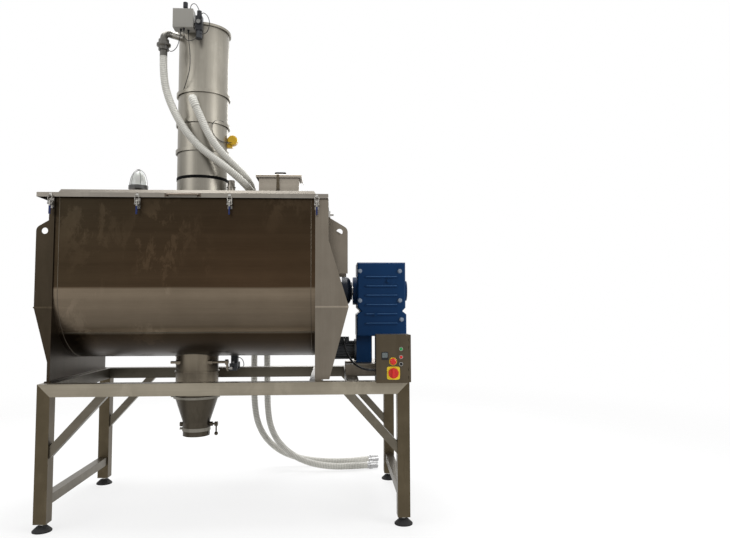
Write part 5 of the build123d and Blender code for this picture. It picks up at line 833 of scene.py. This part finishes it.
bezel = [(0.0113, 0.0), (0.0160, 0.0), (0.0160, 0.0036), (0.0150, 0.0050), (0.0122, 0.0050), (0.0113, 0.0042)]
collar = [(0.0085, 0.0), (0.0310, 0.0), (0.0310, 0.0036), (0.0298, 0.0050), (0.0090, 0.0050)]
bezelPlaces = [(door[key][0], doorFace, door[key][1]) for key in ("start", "stop", "selector")]
collarPlaces = [(door["estop"][0], doorFace, door["estop"][1])]
fittings = [
    turnedShape("buttonBezels", bezelPlaces, forward, bezel, "control_door", "bright", loop=True),
    turnedShape("stopCollar", collarPlaces, forward, collar, "control_door", "plateYellow", loop=True),
    doorPlate("switchPlate", door["switch"], half=(0.051, 0.051), proud=0.004, mat="plateYellow"),
    doorPlate("displayFrame", door["display"], half=(0.0275, 0.0315), proud=0.0052, mat="black"),
    doorPlate("displayGlass", door["glass"], half=(0.0215, 0.0195), proud=0.0060, mat="screen", back=0.004),
]
for fitting in fittings:
    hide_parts("door_fittings")
print("door fittings made")

# bolts on the gear housing's cheeks, front and rear
gearBolts = {"xs": (1.180, 1.538), "zs": (2.058, 1.795), "low": (1.552, 1.625), "front": -0.129,
             "rear": 0.271, "across": 0.030}
cheek = [(x, z) for x in gearBolts["xs"] for z in gearBolts["zs"]] + [gearBolts["low"]]
for boltName, side, outward in (("gearBoltsFront", "front", forward), ("gearBoltsRear", "rear", backward)):
    cheekPlaces = [(x, gearBolts[side], z) for x, z in cheek]
    hexHeads(boltName, cheekPlaces, outward, gearBolts["across"], "boltBlue")

# hold-down bolts of the bearings and the end plates' feet
bearingReach = 0.142
bearings = {"xs": (-1.466, 0.935), "ys": (trough["axisY"] - bearingReach, trough["axisY"] + bearingReach),
            "top": 1.781, "across": 0.030}
feet = {"xs": (-1.352, 0.826), "ys": (-0.470, -0.150, 0.292, 0.612), "top": 1.147, "across": 0.019}
for boltName, rows in (("bearingBolts", bearings), ("footBolts", feet)):
    boltPlaces = [(x, y, rows["top"]) for x in rows["xs"] for y in rows["ys"]]
    hexHeads(boltName, boltPlaces, up, rows["across"])

# ring of bolts on the receiver's foot, and the seal flange bolts at both ends, turned by a start angle
ringBolts = {"at": (-0.287, 0.174), "radius": 0.247, "top": 2.736, "count": 12, "start": 0.13,
             "across": 0.013}
ringTurn = fullTurn(ringBolts["count"]) + ringBolts["start"]
ringX = ringBolts["at"][0] + ringBolts["radius"] * np.cos(ringTurn)
ringY = ringBolts["at"][1] + ringBolts["radius"] * np.sin(ringTurn)
ringPlaces = [(x, y, ringBolts["top"]) for x, y in zip(ringX, ringY)]
hexHeads("receiverBolts", ringPlaces, up, ringBolts["across"])
sealBolts = {"radius": 0.0995, "idleX": -1.3443, "driveX": 0.8133, "count": 6, "start": 0.4, "across": 0.013}
sealTurn = fullTurn(sealBolts["count"]) + sealBolts["start"]
sealY = trough["axisY"] + sealBolts["radius"] * np.cos(sealTurn)
sealZ = trough["axisZ"] + sealBolts["radius"] * np.sin(sealTurn)
for boltName, end, way in (("sealBoltsIdle", "idleX", -1), ("sealBoltsDrive", "driveX", 1)):
    sealPlaces = [(sealBolts[end], y, z) for y, z in zip(sealY, sealZ)]
    hexHeads(boltName, sealPlaces, (way, 0, 0), sealBolts["across"])
print("bolts set")

# seam along the trough's front and rear, at an angle below its axis
longSeam = {"angle": math.radians(37.6), "radius": 0.0032, "lean": (0, 1, 1)}
seamReach = trough["radius"] * math.cos(longSeam["angle"])
seamZ = trough["axisZ"] - trough["radius"] * math.sin(longSeam["angle"])
for seamName, way in (("troughSeamFront", -1), ("troughSeamRear", 1)):
    seamPath = [(x, trough["axisY"] + way * seamReach, seamZ) for x in (trough["left"], trough["right"])]
    weldBead(seamName, seamPath, longSeam["radius"], "rail", longSeam["lean"])

# the end plates' weld lines on the outside of the trough: down the front, round the belly and up the rear
endSeam = {"inset": 0.034, "radius": 0.0026, "points": 121, "lean": (1, 0, 0)}
endTurn = np.linspace(0.0, np.pi, endSeam["points"])
endY = trough["axisY"] - trough["radius"] * np.cos(endTurn)
endZ = trough["axisZ"] - trough["radius"] * np.sin(endTurn)
endProfile = np.column_stack([np.concatenate([endY[:1], endY, endY[-1:]]),
                              np.concatenate([[trough["top"]], endZ, [trough["top"]]])])
endXs = {"endSeamIdle": trough["left"] + endSeam["inset"], "endSeamDrive": trough["right"] - endSeam["inset"]}
for seamName, seamX in endXs.items():
    seamPath = np.column_stack([np.full(len(endProfile), seamX), endProfile])
    weldBead(seamName, seamPath, endSeam["radius"], "seam", endSeam["lean"])

# bead round the discharge neck: a circle seen from above, its height following the round of the trough
neck = {"at": (-0.288, 0.071), "radius": 0.1885, "bead": 0.0045, "below": 0.001, "points": 181,
        "lean": (0, 0, 1)}
neckTurn = np.linspace(0, 2 * np.pi, neck["points"])
neckX = neck["radius"] * np.cos(neckTurn)
neckY = neck["radius"] * np.sin(neckTurn)
neckZ = trough["axisZ"] - np.sqrt(trough["radius"] ** 2 - neckY ** 2) - neck["below"]
neckPath = np.stack([neck["at"][0] + neckX, neck["at"][1] + neckY, neckZ], axis=1)
weldBead("neckBead", neckPath, neck["bead"], "rail", neck["lean"])

# bulb under the lamp's dome
bulbShape = {"at": (-0.828, 0.014, 0.0), "sides": 28,
             "profile": [(tip, 2.840), (0.026, 2.840), (0.026, 2.872), (0.022, 2.878), (0.030, 2.888),
                         (0.037, 2.904), (0.038, 2.918), (0.034, 2.934), (0.024, 2.946), (0.012, 2.952),
                         (tip, 2.9535)]}
lampBulb = turnedShape("lampBulb", [bulbShape["at"]], up, bulbShape["profile"], "stand", "bulb",
                       bulbShape["sides"])
print("seams and bulb made")


# one for rays from the camera, in reflections and through glass, zero for light falling on things
def seenRays(tree):
    rays = node(tree, "ShaderNodeLightPath").outputs
    passed = mathNode(tree, "MAXIMUM", rays["Is Glossy Ray"], rays["Is Transmission Ray"])
    return mathNode(tree, "MAXIMUM", rays["Is Camera Ray"], passed)


def mixShaders(tree, share, first, second):
    mix = node(tree, "ShaderNodeMixShader")
    for index, output in enumerate((share, first, second)):
        tree.links.new(output, mix.inputs[index])
    return mix.outputs[0]


# floor: a flat disc, pale where the object stands and clear at its rim, so the white runs on behind it
floorShape = {"radius": 11.0, "clearFrom": 3.6, "clearTo": 9.5, "sides": 64}
floorLook = {"Base Color": (0.86, 0.86, 0.86, 1.0), "Roughness": 0.9, "Specular IOR Level": 0.0}
floorGlow = 0.74


def floorFinish():
    mat, tree, shader = startMaterial("paleFloor", floorLook)
    glow = node(tree, "ShaderNodeEmission").outputs[0]
    pale = mixShaders(tree, product(tree, seenRays(tree), floorGlow), shader.outputs[0], glow)
    coords = node(tree, "ShaderNodeTexCoord")
    reach = node(tree, "ShaderNodeVectorMath", operation="LENGTH")
    tree.links.new(coords.outputs["Object"], reach.inputs[0])
    limits = {"From Min": floorShape["clearFrom"], "From Max": floorShape["clearTo"]}
    fade = node(tree, "ShaderNodeMapRange", limits, interpolation_type="SMOOTHSTEP")
    tree.links.new(reach.outputs["Value"], fade.inputs["Value"])
    clear = node(tree, "ShaderNodeBsdfTransparent").outputs[0]
    surface = mixShaders(tree, fade.outputs[0], pale, clear)
    tree.links.new(surface, tree.nodes["Material Output"].inputs["Surface"])
    return mat


# disc: one ring of points, radius times cosine and sine of the turn
def paleFloor(shape):
    turn = fullTurn(shape["sides"])
    ring = np.stack([np.cos(turn), np.sin(turn), np.zeros_like(turn)], axis=1) * shape["radius"]
    mesh = bpy.data.meshes.new("paleFloor")
    mesh.from_pydata(ring.tolist(), [], [tuple(range(shape["sides"]))])
    mesh.materials.append(floorFinish())
    floor = bpy.data.objects.new("paleFloor", mesh)
    scene.collection.objects.link(floor)


paleFloor(floorShape)

# studio light: a soft white world, stronger where it is seen, plus four large area lamps
worldStrength = {"lighting": 0.55, "seen": 1.0}
world = bpy.data.worlds.new("studio")
scene.world = world
world.use_nodes = True
worldTree = world.node_tree
background = worldTree.nodes["Background"]
background.inputs["Color"].default_value = (1.0, 1.0, 1.0, 1.0)
strength = rangeOf(worldTree, seenRays(worldTree), worldStrength["lighting"], worldStrength["seen"])
worldTree.links.new(strength, background.inputs["Strength"])

lamps = {
    "topLamp": {"place": (-0.4, 0.6, 7.4), "aim": (-0.2, 0.1, 1.0), "size": 5.0, "watts": 480},
    "rightLamp": {"place": (5.6, -3.2, 3.6), "aim": (0.2, 0.0, 1.8), "size": 2.6, "watts": 150},
    "leftLamp": {"place": (-5.2, -4.4, 4.4), "aim": (0.0, 0.0, 1.8), "size": 3.0, "watts": 70},
    "backLamp": {"place": (0.5, 5.6, 4.6), "aim": (0.0, 0.0, 2.0), "size": 3.5, "watts": 160},
}
for lampName, lamp in lamps.items():
    data = bpy.data.lights.new(lampName, "AREA")
    data.energy = lamp["watts"]
    data.size = lamp["size"]
    holder = bpy.data.objects.new(lampName, data)
    holder.location = lamp["place"]
    holder.rotation_euler = (Vector(lamp["aim"]) - Vector(lamp["place"])).to_track_quat("-Z", "Y").to_euler()
    scene.collection.objects.link(holder)
print("stage and lamps set")
